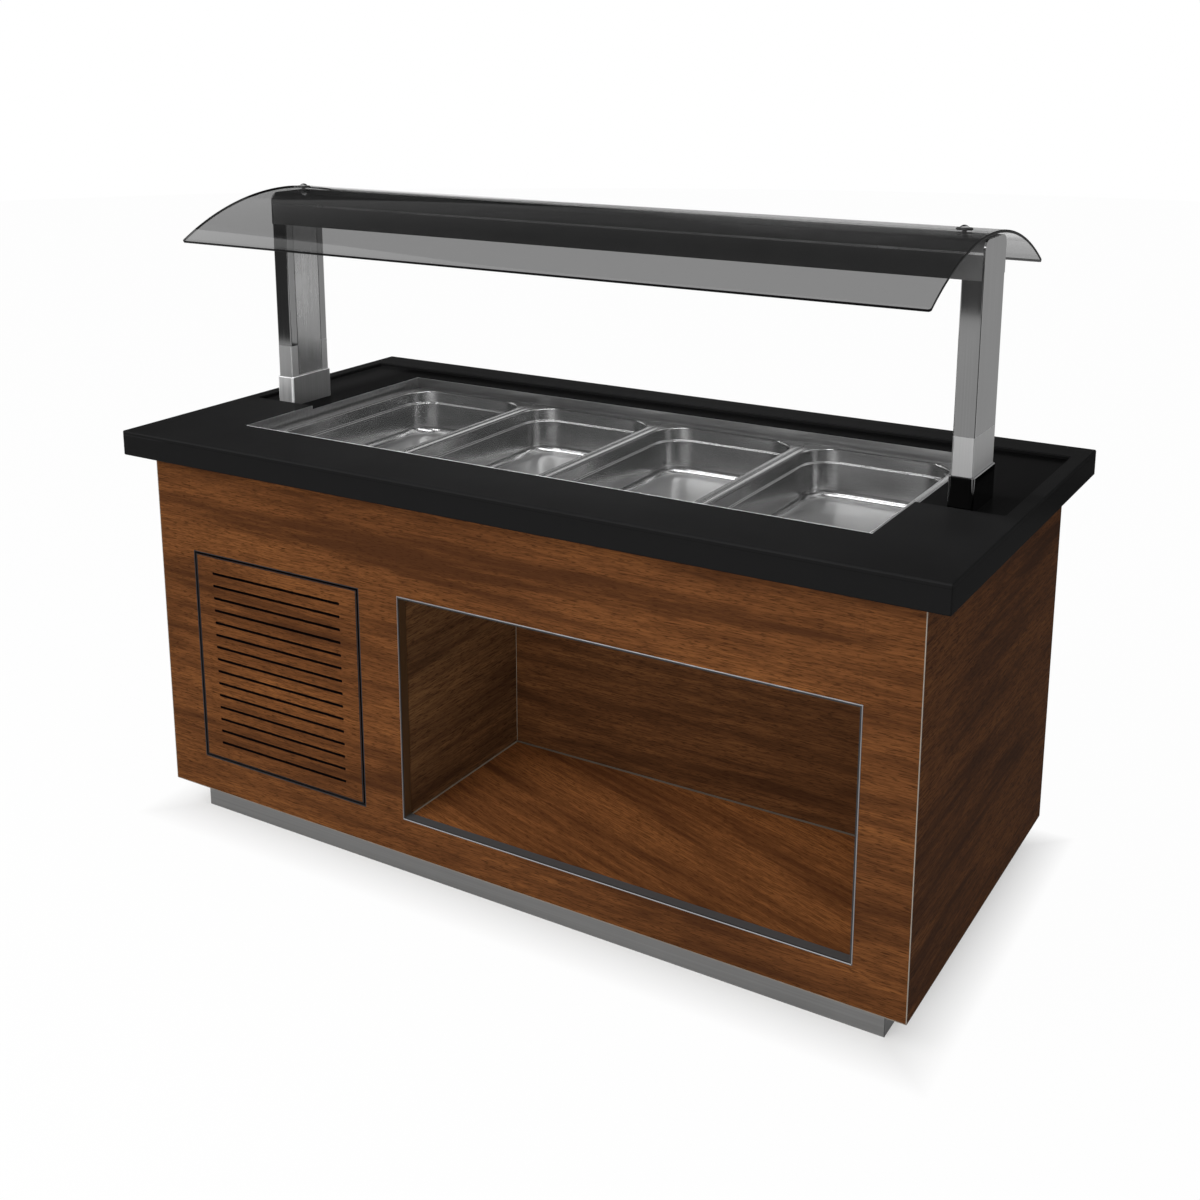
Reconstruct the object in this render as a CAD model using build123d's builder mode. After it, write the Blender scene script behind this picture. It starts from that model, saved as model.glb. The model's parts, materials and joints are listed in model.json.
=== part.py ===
"""Hot buffet counter with food pans in a heated well, an open niche and a lit arched canopy.

Sizes are in millimetres. +X runs along the front to the right, +Y to the back and +Z up.
The origin is on the floor, under the centre of the counter top.
"""

from build123d import *
import os
from math import asin, cos, degrees, hypot, radians, sin, tan

os.makedirs("parts", exist_ok=True)

# Food pans, full size
pan_count = 4
pan_width = 325
pan_length = 530
pan_depth = 100
pan_sheet = 1.2
pan_gap = 2
pan_rim = 12.5
pan_rim_corner = 16
pan_lip = 5
pan_corner = 62
pan_draft = 4
pan_shoulder_drop = 28
pan_shoulder_step = 4
pan_floor_edge = 10
pan_clearance = 3
seat_clearance = 0.3

# Heated well
well_sheet = 1.5
flange_margin = 16
water_depth = 58
weld_gap = 0.2
bar_height = 14
bar_end_gap = 0.5
ledge_length = 16
ledge_sheet = 2
jacket = 15
heater_diameter = 8.5
heater_collar_gap = 1
heater_run_spacing = 270
heater_bend = 40
heater_far_gap = 80
heater_tail = 20
heater_collar_diameter = 22
heater_collar = 6
heater_hole_gap = 0.5

# Counter top
end_shelf = 186
front_shelf = 162
back_shelf = 136
counter_height = 830
top_thickness = 50
top_edge = 2
recess_depth = 8
well_drop = 24
recess_side_rim = 28.5
recess_back_rim = 73
recess_lead = 2.5
recess_corner = 6
edge_strip = 2
edge_strip_gap = 0.5
ledge_gap = 6

# Carcass and plinth
board = 18
side_overhang = 48
front_overhang = 40
corner_strip = 1.5
board_joint = 0.2
frame_post = 30
frame_rail_height = 60
plinth_height = 67
plinth_side_setback = 50
plinth_front_setback = 42
plinth_sheet = 2
plinth_flange = 30
plinth_bearers = 3
plinth_bearer_width = 30

# Niche
niche_depth = 384
niche_sill = 77
niche_right_margin = 97.5
niche_service_gap = 22
niche_bearers = 3
trim_face = 3
trim_sheet = 1.2
trim_leg = 20

# Vent panel
vent_left_margin = 90
vent_to_niche = 94
vent_width = 427
vent_height = 450
vent_sill = 74
surround_sheet = 2
surround_lip = 16
vent_gap = 4
vent_panel_thickness = 12
slot_count = 15
slot_length = 330
slot_width = 5.5
slot_pitch = 26.25
catch_size = 12

# Posts
stand_y = -8
post_gap = 59
post_width = 38
post_depth = 116
post_wall = 3.5
post_edge = 3
collar_wall = 3.5
collar_height = 62
collar_edge = 1.5
cover_recess = 2
cover_width = 73
cover_groove = 2
cover_end_gap = 3
foot_thickness = 8
stud_diameter = 10
stud_spacing = 70
stud_hole_gap = 0.5
nut_width = 17
nut_height = 8
spreader_width = 30
spreader_margin = 20
spreader_sheet = 2

# Light beam
serving_height = 384
beam_height = 66
beam_radius = 18
beam_sheet = 2
cover_skirt = 2
bead_height = 4
bead_depth = 6
bead_proud = 0.8
light_length = 1150
light_width = 24
light_height = 12
diffuser_width = 70
diffuser_margin = 5
diffuser_sheet = 3
diffuser_gap = 0.5

# Canopy
canopy_chord = 608
canopy_rise = 83.5
canopy_sheet = 5
canopy_offset = -12
canopy_corner = 5
canopy_lift = 5
canopy_stud_inset = 51
canopy_stud_diameter = 8
canopy_hole_gap = 0.5
canopy_stud_head = 20
canopy_stud_head_height = 3
pad_diameter = 26
cap_washer_diameter = 28
cap_washer_height = 3
dome_diameter = 16
dome_skirt = 1
dome_rise = 4
dome_thread = 3.5

# Drain
drain_inset = 110
drain_offset = -90
drain_flange_diameter = 52
drain_flange = 2
drain_socket_diameter = 34
drain_bore = 22
drain_socket_drop = 14
drain_hole_gap = 0.3
jacket_hole_gap = 3
valve_length = 62
valve_body_diameter = 46
valve_end_diameter = 36
valve_body_length = 34
valve_stem_diameter = 8
valve_stem_reach = 20
lever_length = 95
lever_width = 16
lever_sheet = 3
lever_hub_diameter = 24
lever_running_gap = 0.06
lever_face_gap = 0.4
pipe_diameter = 28
pipe_floor_gap = 30
tail_diameter = 25
tail_length = 28
pipe_hole_gap = 1

# Controls at the operator's side
control_side_gap = 174
control_drop = 110
control_width = 230
control_height = 84
control_sheet = 1.5
control_margin = 14
control_corner = 7
knob_place = 70
heat_switch_place = -2
light_switch_place = -42
pilot_place = -84
thermostat_size = 36
thermostat_depth = 30
bush_diameter = 10
bush_length = 4
plate_hole_gap = 0.25
spindle_diameter = 6
spindle_depth = 20
spindle_gap = 0.06
knob_diameter = 42
knob_height = 18
knob_taper = 6
knob_gap = 0.5
knob_sides = 12
rocker_width = 13
rocker_half_length = 10
rocker_tilt = 10
rocker_rise = 4.5
rocker_keel = 5
rocker_pivot_depth = 3.5
rocker_side_gap = 0.5
rocker_sweep_gap = 0.5
rocker_floor_gap = 2.5
rocker_pin_diameter = 3
rocker_pin_reach = 1.5
rocker_pin_gap = 0.06
bezel_margin = 3
bezel_height = 2
switch_wall = 2
switch_depth = 22
pilot_width = 9
pilot_length = 24
pilot_depth = 20
pilot_lens = 3
pilot_lens_edge = 1

# Supply
terminal_width = 140
terminal_height = 110
terminal_depth = 60
terminal_edge = 4
terminal_side_gap = 60
terminal_floor_gap = 120
gland_side_gap = 70
gland_floor_gap = 55
gland_bore = 10
gland_thread = 20
gland_nut = 27
gland_inner_nut = 6
gland_cap = 20
gland_hole_gap = 0.2

# Well and counter top, worked out from the pans
pan_pitch = pan_width + pan_gap
pans_length = pan_count * pan_pitch - pan_gap
flange_x = pans_length / 2 + flange_margin
flange_y = pan_length / 2 + flange_margin
counter_length = 2 * (flange_x + end_shelf)
counter_depth = 2 * flange_y + front_shelf + back_shelf
well_y = (front_shelf - back_shelf) / 2
well_x_half = pans_length / 2 - pan_rim + pan_clearance
well_y_half = pan_length / 2 - pan_rim + pan_clearance
top_x = counter_length / 2
top_y = counter_depth / 2
top_bottom = counter_height - top_thickness
recess_floor = counter_height - recess_depth
flange_bottom = recess_floor - well_drop
flange_top = flange_bottom + well_sheet
pan_seat = flange_top + seat_clearance
rim_top = pan_seat + pan_lip
well_floor = rim_top - pan_depth - water_depth
jacket_bottom = well_floor - well_sheet - jacket
bar_width = 2 * (pan_rim - pan_clearance) + pan_gap
pan_places = [(i - (pan_count - 1) / 2) * pan_pitch for i in range(pan_count)]
bar_places = [place + pan_pitch / 2 for place in pan_places[:-1]]

# Carcass, niche and vent opening
body_x = top_x - side_overhang
body_y = top_y - front_overhang
inner_x = body_x - board
inner_y = body_y - board
body_bottom = plinth_height
floor_top = body_bottom + board
niche_right = body_x - niche_right_margin
vent_left = -body_x + vent_left_margin
vent_right = vent_left + vent_width
niche_left = vent_right + vent_to_niche
niche_bottom = body_bottom + niche_sill
niche_top = jacket_bottom - niche_service_gap - board
niche_back_y = -body_y + niche_depth
niche_x = (niche_left + niche_right) / 2
niche_z = (niche_bottom + niche_top) / 2
niche_width = niche_right - niche_left
niche_height = niche_top - niche_bottom
vent_x = (vent_left + vent_right) / 2
vent_z = body_bottom + vent_sill + vent_height / 2

# Stand and canopy
post_x = flange_x + post_gap + post_width / 2
post_outer = post_x + post_width / 2
beam_bottom = counter_height + serving_height
beam_top = beam_bottom + beam_height
bead_top = beam_top - beam_radius - cover_skirt
beam_half = post_outer - post_wall
canopy_crest = beam_top + canopy_lift + canopy_sheet
canopy_radius = ((canopy_chord / 2) ** 2 + canopy_rise**2) / (2 * canopy_rise)
canopy_y = stand_y + canopy_offset
canopy_stud_x = post_outer - canopy_stud_inset
canopy_stud_places = [(-canopy_stud_x, canopy_y), (canopy_stud_x, canopy_y)]
recess_front = stand_y - post_depth / 2 - collar_wall - recess_lead
stud_places = [
    (side * post_x, stand_y + end * stud_spacing / 2) for side in (-1, 1) for end in (-1, 1)
]

# Drain, controls and supply
drain_x = -well_x_half + drain_inset
drain_y = well_y + drain_offset
drain_socket_bottom = jacket_bottom - drain_socket_drop
valve_bottom = drain_socket_bottom - valve_length
valve_z = (drain_socket_bottom + valve_bottom) / 2
stem_tip = drain_y - valve_body_diameter / 2 - valve_stem_reach
control_x = -inner_x + control_side_gap + control_width / 2
control_z = top_bottom - control_drop
plate_face = body_y + control_sheet
rocker_pivot = plate_face - rocker_pivot_depth
rocker_end_rise = rocker_rise + rocker_half_length * tan(radians(rocker_tilt))
rocker_reach = hypot(rocker_half_length, rocker_end_rise)
switch_mouth = 2 * (rocker_reach + rocker_sweep_gap)
switch_mouth_width = rocker_width + 2 * rocker_side_gap
switch_places = {
    "heat_switch": control_x + heat_switch_place,
    "light_switch": control_x + light_switch_place,
}
gland_x = -inner_x + gland_side_gap
gland_z = body_bottom + gland_floor_gap
terminal_x = -inner_x + terminal_side_gap + terminal_width / 2
terminal_z = floor_top + terminal_floor_gap + terminal_height / 2


def keep(piece, name):
    """Label a finished piece and write it out."""
    piece.part.label = name
    export_step(piece.part, f"parts/{name}.step")


def board_between(x, y, z):
    """Square-edged board between pairs of limits along X, Y and Z."""
    with BuildPart() as piece:
        with Locations(((x[0] + x[1]) / 2, (y[0] + y[1]) / 2, (z[0] + z[1]) / 2)):
            Box(x[1] - x[0], y[1] - y[0], z[1] - z[0])
    return piece


def upright(x, y):
    """Plane through a vertical axis, for profiles that are turned about it."""
    return Plane(origin=(x, y, 0), x_dir=(1, 0, 0), z_dir=(0, -1, 0))


def turned(x, y, outline):
    """Round piece about a vertical axis, from radius and height pairs."""
    with BuildPart() as piece:
        with BuildSketch(upright(x, y)):
            with BuildLine():
                Polyline(*outline, close=True)
            make_face()
        revolve(axis=Axis((x, y, 0), (0, 0, 1)))
    return piece


# Plinth: folded channel frame with box-section cross bearers
plinth_x = body_x - plinth_side_setback
plinth_y = body_y - plinth_front_setback
with BuildPart() as plinth:
    with BuildSketch():
        Rectangle(2 * plinth_x, 2 * plinth_y)
    extrude(amount=plinth_height)
    with BuildSketch(Plane.XY.offset(plinth_sheet)):
        Rectangle(2 * (plinth_x - plinth_sheet), 2 * (plinth_y - plinth_sheet))
    extrude(amount=plinth_height - 2 * plinth_sheet, mode=Mode.SUBTRACT)
    with BuildSketch():
        Rectangle(2 * (plinth_x - plinth_flange), 2 * (plinth_y - plinth_flange))
    extrude(amount=plinth_height, mode=Mode.SUBTRACT)
    with BuildSketch(Plane.XZ.offset(plinth_y - plinth_sheet)):
        with Locations((0, plinth_height / 2)):
            with GridLocations(2 * plinth_x / (plinth_bearers + 1), 0, plinth_bearers, 1):
                Rectangle(plinth_bearer_width, plinth_height)
                Rectangle(
                    plinth_bearer_width - 2 * plinth_sheet,
                    plinth_height - 2 * plinth_sheet,
                    mode=Mode.SUBTRACT,
                )
    extrude(amount=-2 * (plinth_y - plinth_sheet))
keep(plinth, "plinth")

# Base panel, with the hole for the drain pipe
with BuildPart() as base_panel:
    with BuildSketch(Plane.XY.offset(body_bottom)):
        Rectangle(2 * inner_x, 2 * inner_y)
        with Locations((drain_x, drain_y)):
            Circle(pipe_diameter / 2 + pipe_hole_gap, mode=Mode.SUBTRACT)
    extrude(amount=board)
keep(base_panel, "base_panel")


def mitred_panel(outline):
    """Upright carcass panel with mitred ends, rebated for the corner strips."""
    with BuildPart() as panel:
        with BuildSketch(Plane.XY.offset(body_bottom)):
            with BuildLine():
                Polyline(*outline, close=True)
            make_face()
            with GridLocations(2 * body_x, 2 * body_y, 2, 2):
                Rectangle(2 * corner_strip, 2 * corner_strip, mode=Mode.SUBTRACT)
        extrude(amount=top_bottom - body_bottom)
    return panel


# Front panel: boards joined edge to edge round the niche and the vent
board_joints = [
    vent_left + board_joint / 2,
    vent_right - board_joint / 2,
    niche_left + board_joint / 2,
    niche_right - board_joint / 2,
]
front = mitred_panel([(-body_x, -body_y), (body_x, -body_y), (inner_x, -inner_y), (-inner_x, -inner_y)])
with BuildPart() as front_panel:
    add(front.part)
    with BuildSketch(Plane.XZ.offset(body_y)):
        with Locations((niche_x, niche_z)):
            Rectangle(niche_width, niche_height)
        with Locations((vent_x, vent_z)):
            Rectangle(vent_width, vent_height)
        with Locations(*[(x, (body_bottom + top_bottom) / 2) for x in board_joints]):
            Rectangle(board_joint, top_bottom - body_bottom)
    extrude(amount=-board, mode=Mode.SUBTRACT)
keep(front_panel, "front_panel")

# Rear panel, open behind the controls and drilled for the gland
rear = mitred_panel([(-body_x, body_y), (body_x, body_y), (inner_x, inner_y), (-inner_x, inner_y)])
with BuildPart() as rear_panel:
    add(rear.part)
    with BuildSketch(Plane.XZ.offset(-body_y)):
        with Locations((control_x, control_z)):
            Rectangle(control_width - 2 * control_margin, control_height - 2 * control_margin)
        with Locations((gland_x, gland_z)):
            Circle(gland_thread / 2 + gland_hole_gap)
    extrude(amount=board, mode=Mode.SUBTRACT)
keep(rear_panel, "rear_panel")

# Side panels
for side, name in ((-1, "side_panel_left"), (1, "side_panel_right")):
    outer, inner = side * body_x, side * inner_x
    side_panel = mitred_panel([(outer, -body_y), (outer, body_y), (inner, inner_y), (inner, -inner_y)])
    keep(side_panel, name)

# Pale strips let into the four upright corners
with BuildPart() as corner_strips:
    with BuildSketch(Plane.XY.offset(body_bottom)):
        with GridLocations(2 * body_x - corner_strip, 2 * body_y - corner_strip, 2, 2):
            Rectangle(corner_strip, corner_strip)
    extrude(amount=top_bottom - body_bottom)
keep(corner_strips, "corner_strips")

# Timber frame: corner posts and rails that carry the counter top, and bearers under the niche
with BuildPart() as carcass_frame:
    with BuildSketch(Plane.XY.offset(floor_top)):
        with GridLocations(2 * inner_x - frame_post, 2 * inner_y - frame_post, 2, 2):
            Rectangle(frame_post, frame_post)
    extrude(amount=top_bottom - floor_top)
    with BuildSketch(Plane.XY.offset(top_bottom)):
        Rectangle(2 * inner_x, 2 * inner_y)
        Rectangle(2 * (inner_x - board), 2 * (inner_y - board), mode=Mode.SUBTRACT)
    extrude(amount=-frame_rail_height)
    with BuildSketch(Plane.XY.offset(floor_top)):
        with Locations((niche_x, (niche_back_y - inner_y) / 2)):
            with GridLocations((niche_width - frame_post) / (niche_bearers - 1), 0, niche_bearers, 1):
                Rectangle(frame_post, niche_back_y + inner_y)
    extrude(amount=niche_bottom - board - floor_top)
keep(carcass_frame, "carcass_frame")

# Niche boards: the left wall runs on to the rear panel and parts off the service space
niche_floor = board_between(
    (niche_left, niche_right), (-inner_y, niche_back_y), (niche_bottom - board, niche_bottom)
)
keep(niche_floor, "niche_floor")
niche_ceiling = board_between(
    (niche_left, niche_right), (-inner_y, niche_back_y + board), (niche_top, niche_top + board)
)
keep(niche_ceiling, "niche_ceiling")
niche_left_wall = board_between(
    (niche_left - board, niche_left), (-inner_y, inner_y), (floor_top, niche_top + board)
)
keep(niche_left_wall, "niche_left_wall")
niche_right_wall = board_between(
    (niche_right, niche_right + board), (-inner_y, niche_back_y + board), (floor_top, niche_top + board)
)
keep(niche_right_wall, "niche_right_wall")
niche_back = board_between(
    (niche_left, niche_right), (niche_back_y, niche_back_y + board), (floor_top, niche_top)
)
keep(niche_back, "niche_back")

# Metal trim round the niche mouth: a face flange and a leg that lines the board edges
with BuildPart() as niche_trim:
    with BuildSketch(Plane.XZ.offset(body_y)):
        with Locations((niche_x, niche_z)):
            Rectangle(niche_width + 2 * trim_face, niche_height + 2 * trim_face)
    extrude(amount=trim_sheet)
    chamfer(niche_trim.faces().sort_by(Axis.Y)[0].edges(), trim_sheet / 2)
    with BuildSketch(Plane.XZ.offset(body_y)):
        with Locations((niche_x, niche_z)):
            Rectangle(niche_width, niche_height)
    extrude(amount=-trim_leg)
    with BuildSketch(Plane.XZ.offset(body_y + trim_sheet)):
        with Locations((niche_x, niche_z)):
            Rectangle(niche_width - 2 * trim_sheet, niche_height - 2 * trim_sheet)
    extrude(amount=-trim_sheet - trim_leg, mode=Mode.SUBTRACT)
keep(niche_trim, "niche_trim")

# Black surround of the vent: a lining with a lip behind the panel
with BuildPart() as vent_surround:
    with BuildSketch(Plane.XZ.offset(body_y)):
        with Locations((vent_x, vent_z)):
            Rectangle(vent_width, vent_height)
    extrude(amount=-board)
    with BuildSketch(Plane.XZ.offset(body_y)):
        with Locations((vent_x, vent_z)):
            Rectangle(vent_width - 2 * surround_sheet, vent_height - 2 * surround_sheet)
    extrude(amount=surround_sheet - board, mode=Mode.SUBTRACT)
    with BuildSketch(Plane.XZ.offset(body_y)):
        with Locations((vent_x, vent_z)):
            Rectangle(vent_width - 2 * surround_lip, vent_height - 2 * surround_lip)
    extrude(amount=-board, mode=Mode.SUBTRACT)
keep(vent_surround, "vent_surround")

# Vent panel with its row of slots
vent_inset = surround_sheet + vent_gap
with BuildPart() as vent_panel:
    with BuildSketch(Plane.XZ.offset(body_y)):
        with Locations((vent_x, vent_z)):
            Rectangle(vent_width - 2 * vent_inset, vent_height - 2 * vent_inset)
            with GridLocations(0, slot_pitch, 1, slot_count):
                SlotOverall(slot_length, slot_width, mode=Mode.SUBTRACT)
    extrude(amount=-vent_panel_thickness)
keep(vent_panel, "vent_panel")

# Magnetic catches on the lip behind the vent panel
catch_inset = surround_lip - catch_size / 2
with BuildPart() as vent_catches:
    with BuildSketch(Plane.XZ.offset(inner_y + surround_sheet)):
        with Locations((vent_x, vent_z)):
            with GridLocations(vent_width - 2 * catch_inset, vent_height - 2 * catch_inset, 2, 2):
                Rectangle(catch_size, catch_size)
    extrude(amount=board - surround_sheet - vent_panel_thickness - seat_clearance)
keep(vent_catches, "vent_catches")

# Counter top: recess at the back, opening for the well and its lining
strip_x = flange_x + edge_strip_gap + edge_strip
strip_y_half = flange_y + edge_strip_gap + edge_strip
strip_y = well_y - strip_y_half
recess_back = top_y - recess_back_rim
with BuildPart() as counter_top:
    with BuildSketch(Plane.XY.offset(top_bottom)):
        Rectangle(counter_length, counter_depth)
    extrude(amount=top_thickness)
    chamfer(counter_top.edges(), top_edge)
    with BuildSketch(Plane.XY.offset(counter_height)):
        with Locations((0, (recess_front + recess_back) / 2)):
            RectangleRounded(2 * (top_x - recess_side_rim), recess_back - recess_front, recess_corner)
    extrude(amount=-recess_depth, mode=Mode.SUBTRACT)
    with BuildSketch(Plane.XY.offset(counter_height)):
        with Locations((0, well_y)):
            Rectangle(2 * strip_x, 2 * strip_y_half)
        with Locations(*stud_places):
            Circle(stud_diameter / 2 + stud_hole_gap)
    extrude(amount=-top_thickness, mode=Mode.SUBTRACT)
keep(counter_top, "counter_top")

# Steel lining of the opening: a ledge under the flange, walls, and a raised edge at the front
ledge_x = well_x_half + well_sheet + ledge_gap
ledge_y = well_y_half + well_sheet + ledge_gap
with BuildPart() as well_edge_strip:
    with BuildSketch(Plane.XY.offset(flange_bottom)):
        with Locations((0, well_y)):
            Rectangle(2 * strip_x, 2 * strip_y_half)
            Rectangle(2 * ledge_x, 2 * ledge_y, mode=Mode.SUBTRACT)
    extrude(amount=-edge_strip)
    with BuildSketch(Plane.XY.offset(flange_bottom)):
        with Locations((0, well_y)):
            Rectangle(2 * strip_x, 2 * strip_y_half)
            Rectangle(2 * (strip_x - edge_strip), 2 * (strip_y_half - edge_strip), mode=Mode.SUBTRACT)
    extrude(amount=well_drop)
    with BuildSketch(Plane.XY.offset(recess_floor)):
        with Locations((0, (strip_y + recess_front) / 2)):
            Rectangle(2 * strip_x, recess_front - strip_y)
        with Locations((0, (strip_y + edge_strip + recess_front) / 2)):
            Rectangle(2 * (strip_x - edge_strip), recess_front - strip_y - edge_strip, mode=Mode.SUBTRACT)
    extrude(amount=recess_depth)
keep(well_edge_strip, "well_edge_strip")

# Flange round the well, with folded hooks that carry the ends of the cross bars
ledge_top = flange_top - bar_height
bar_ends = [(place, 0) for place in bar_places]
with BuildPart() as well_flange:
    with BuildSketch(Plane.XY.offset(flange_bottom)):
        with Locations((0, well_y)):
            Rectangle(2 * flange_x, 2 * flange_y)
            Rectangle(2 * well_x_half, 2 * well_y_half, mode=Mode.SUBTRACT)
    extrude(amount=well_sheet)
    for end in (-1, 1):
        with BuildSketch(Plane.XY.offset(flange_top)):
            with Locations((0, well_y + end * (well_y_half - ledge_sheet / 2))):
                with Locations(*bar_ends):
                    Rectangle(bar_width, ledge_sheet)
        extrude(amount=ledge_top - ledge_sheet - flange_top)
        with BuildSketch(Plane.XY.offset(ledge_top)):
            with Locations((0, well_y + end * (well_y_half - ledge_length / 2))):
                with Locations(*bar_ends):
                    Rectangle(bar_width, ledge_length)
        extrude(amount=-ledge_sheet)
keep(well_flange, "well_flange")

# Tank walls: four sheets welded at their corners, the left one with holes for the heater
heater_z = well_floor + heater_collar_diameter / 2 + heater_collar_gap
heater_runs = [well_y - heater_run_spacing / 2, well_y + heater_run_spacing / 2]
wall_bottom = well_floor - well_sheet
wall_x = well_x_half + well_sheet / 2
wall_y = well_y_half + well_sheet / 2
with BuildPart() as well_tank:
    with BuildSketch(Plane.XY.offset(flange_bottom)):
        with Locations((0, well_y - wall_y), (0, well_y + wall_y)):
            Rectangle(2 * (well_x_half + well_sheet), well_sheet)
        with Locations((-wall_x, well_y), (wall_x, well_y)):
            Rectangle(well_sheet, 2 * (well_y_half - weld_gap))
    extrude(amount=wall_bottom - flange_bottom)
    with BuildSketch(Plane.YZ.offset(-well_x_half)):
        with Locations(*[(y, heater_z) for y in heater_runs]):
            Circle(heater_diameter / 2 + heater_hole_gap)
    extrude(amount=-well_sheet, mode=Mode.SUBTRACT)
keep(well_tank, "well_tank")

# Tank floor welded in between the walls, with the hole for the drain
with BuildPart() as tank_floor:
    with BuildSketch(Plane.XY.offset(well_floor)):
        with Locations((0, well_y)):
            Rectangle(2 * well_x_half, 2 * well_y_half)
        with Locations((drain_x, drain_y)):
            Circle(drain_socket_diameter / 2 + drain_hole_gap, mode=Mode.SUBTRACT)
    extrude(amount=-well_sheet)
keep(tank_floor, "tank_floor")

# Insulating jacket round the tank, below the counter top
with BuildPart() as tank_jacket:
    with BuildSketch(Plane.XY.offset(top_bottom)):
        with Locations((0, well_y)):
            Rectangle(2 * (well_x_half + well_sheet + jacket), 2 * (well_y_half + well_sheet + jacket))
    extrude(amount=jacket_bottom - top_bottom)
    with BuildSketch(Plane.XY.offset(top_bottom)):
        with Locations((0, well_y)):
            Rectangle(2 * (well_x_half + well_sheet), 2 * (well_y_half + well_sheet))
    extrude(amount=wall_bottom - top_bottom, mode=Mode.SUBTRACT)
    with BuildSketch(Plane.XY.offset(well_floor)):
        with Locations((drain_x, drain_y)):
            Circle(drain_socket_diameter / 2 + jacket_hole_gap)
    extrude(amount=jacket_bottom - well_floor, mode=Mode.SUBTRACT)
    with BuildSketch(Plane.YZ.offset(-well_x_half)):
        with Locations(*[(y, heater_z) for y in heater_runs]):
            Circle(heater_collar_diameter / 2 + heater_hole_gap)
    extrude(amount=-well_sheet - jacket, mode=Mode.SUBTRACT)
keep(tank_jacket, "tank_jacket")

# Folded cross bars that carry the rims between the pans
bar_half = well_y_half - ledge_sheet - bar_end_gap
with BuildPart() as pan_bars:
    with BuildSketch(Plane.XZ.offset(bar_half - well_y)):
        with Locations(*[(place, flange_top - bar_height / 2) for place in bar_places]):
            Rectangle(bar_width, bar_height)
        with Locations(*[(place, flange_top - bar_height / 2 - well_sheet) for place in bar_places]):
            Rectangle(bar_width - 2 * well_sheet, bar_height, mode=Mode.SUBTRACT)
    extrude(amount=-2 * bar_half)
keep(pan_bars, "pan_bars")


def bowl(place, inset):
    """Filled form of a pan's bowl: a band, a shoulder and a drafted body with an eased floor."""
    mouth_x = pan_width - 2 * (pan_rim + inset)
    mouth_y = pan_length - 2 * (pan_rim + inset)
    shoulder_z = rim_top - pan_shoulder_drop + inset
    floor_z = rim_top - pan_depth + inset
    corner = pan_corner - inset
    with BuildPart() as form:
        with BuildSketch(Plane.XY.offset(rim_top)):
            with Locations((place, well_y)):
                RectangleRounded(mouth_x, mouth_y, corner)
        extrude(amount=shoulder_z - rim_top)
        with BuildSketch(Plane.XY.offset(shoulder_z)):
            with Locations((place, well_y)):
                RectangleRounded(
                    mouth_x - 2 * pan_shoulder_step,
                    mouth_y - 2 * pan_shoulder_step,
                    corner - pan_shoulder_step,
                )
        extrude(amount=floor_z - shoulder_z, taper=pan_draft)
        chamfer(form.faces().sort_by(Axis.Z)[0].edges(), pan_floor_edge - inset / 2)
    return form.part


def food_pan(place):
    """Food pan: flat rim with a turned-down lip round a bowl with a stacking shoulder."""
    outside = bowl(place, 0)
    inside = bowl(place, pan_sheet)
    with BuildPart() as pan:
        with BuildSketch(Plane.XY.offset(rim_top)):
            with Locations((place, well_y)):
                RectangleRounded(pan_width, pan_length, pan_rim_corner)
        extrude(amount=-pan_lip)
        with BuildSketch(Plane.XY.offset(rim_top - pan_sheet)):
            with Locations((place, well_y)):
                RectangleRounded(
                    pan_width - 2 * pan_sheet, pan_length - 2 * pan_sheet, pan_rim_corner - pan_sheet
                )
        extrude(amount=pan_sheet - pan_lip, mode=Mode.SUBTRACT)
        add(outside)
        add(inside, mode=Mode.SUBTRACT)
    return pan


for number, place in enumerate(pan_places, 1):
    keep(food_pan(place), f"gn_pan_{number}")

# Sheathed heating element: a hairpin with a clamping nut on each side of the tank wall
heater_start = -well_x_half - well_sheet - jacket - heater_tail
heater_far = well_x_half - heater_far_gap
heater_route = [
    (heater_start, heater_runs[0], heater_z),
    (heater_far, heater_runs[0], heater_z),
    (heater_far, heater_runs[1], heater_z),
    (heater_start, heater_runs[1], heater_z),
]
with BuildPart() as heating_element:
    with BuildLine() as heater_line:
        FilletPolyline(*heater_route, radius=heater_bend)
    with BuildSketch(Plane(origin=heater_route[0], z_dir=(1, 0, 0))):
        Circle(heater_diameter / 2)
    sweep(path=heater_line.wires()[0])
    with BuildSketch(Plane.YZ.offset(-well_x_half)):
        with Locations(*[(y, heater_z) for y in heater_runs]):
            RegularPolygon(heater_collar_diameter / 2, 6)
    extrude(amount=heater_collar)
    with BuildSketch(Plane.YZ.offset(-well_x_half - well_sheet)):
        with Locations(*[(y, heater_z) for y in heater_runs]):
            RegularPolygon(heater_collar_diameter / 2, 6)
    extrude(amount=-heater_collar)
keep(heating_element, "heating_element")

# Drain: flanged socket in the tank floor
drain_fitting = turned(
    drain_x,
    drain_y,
    [
        (drain_bore / 2, drain_socket_bottom),
        (drain_socket_diameter / 2, drain_socket_bottom),
        (drain_socket_diameter / 2, well_floor),
        (drain_flange_diameter / 2, well_floor),
        (drain_flange_diameter / 2, well_floor + drain_flange),
        (drain_bore / 2, well_floor + drain_flange),
    ],
)
keep(drain_fitting, "drain_fitting")

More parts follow.
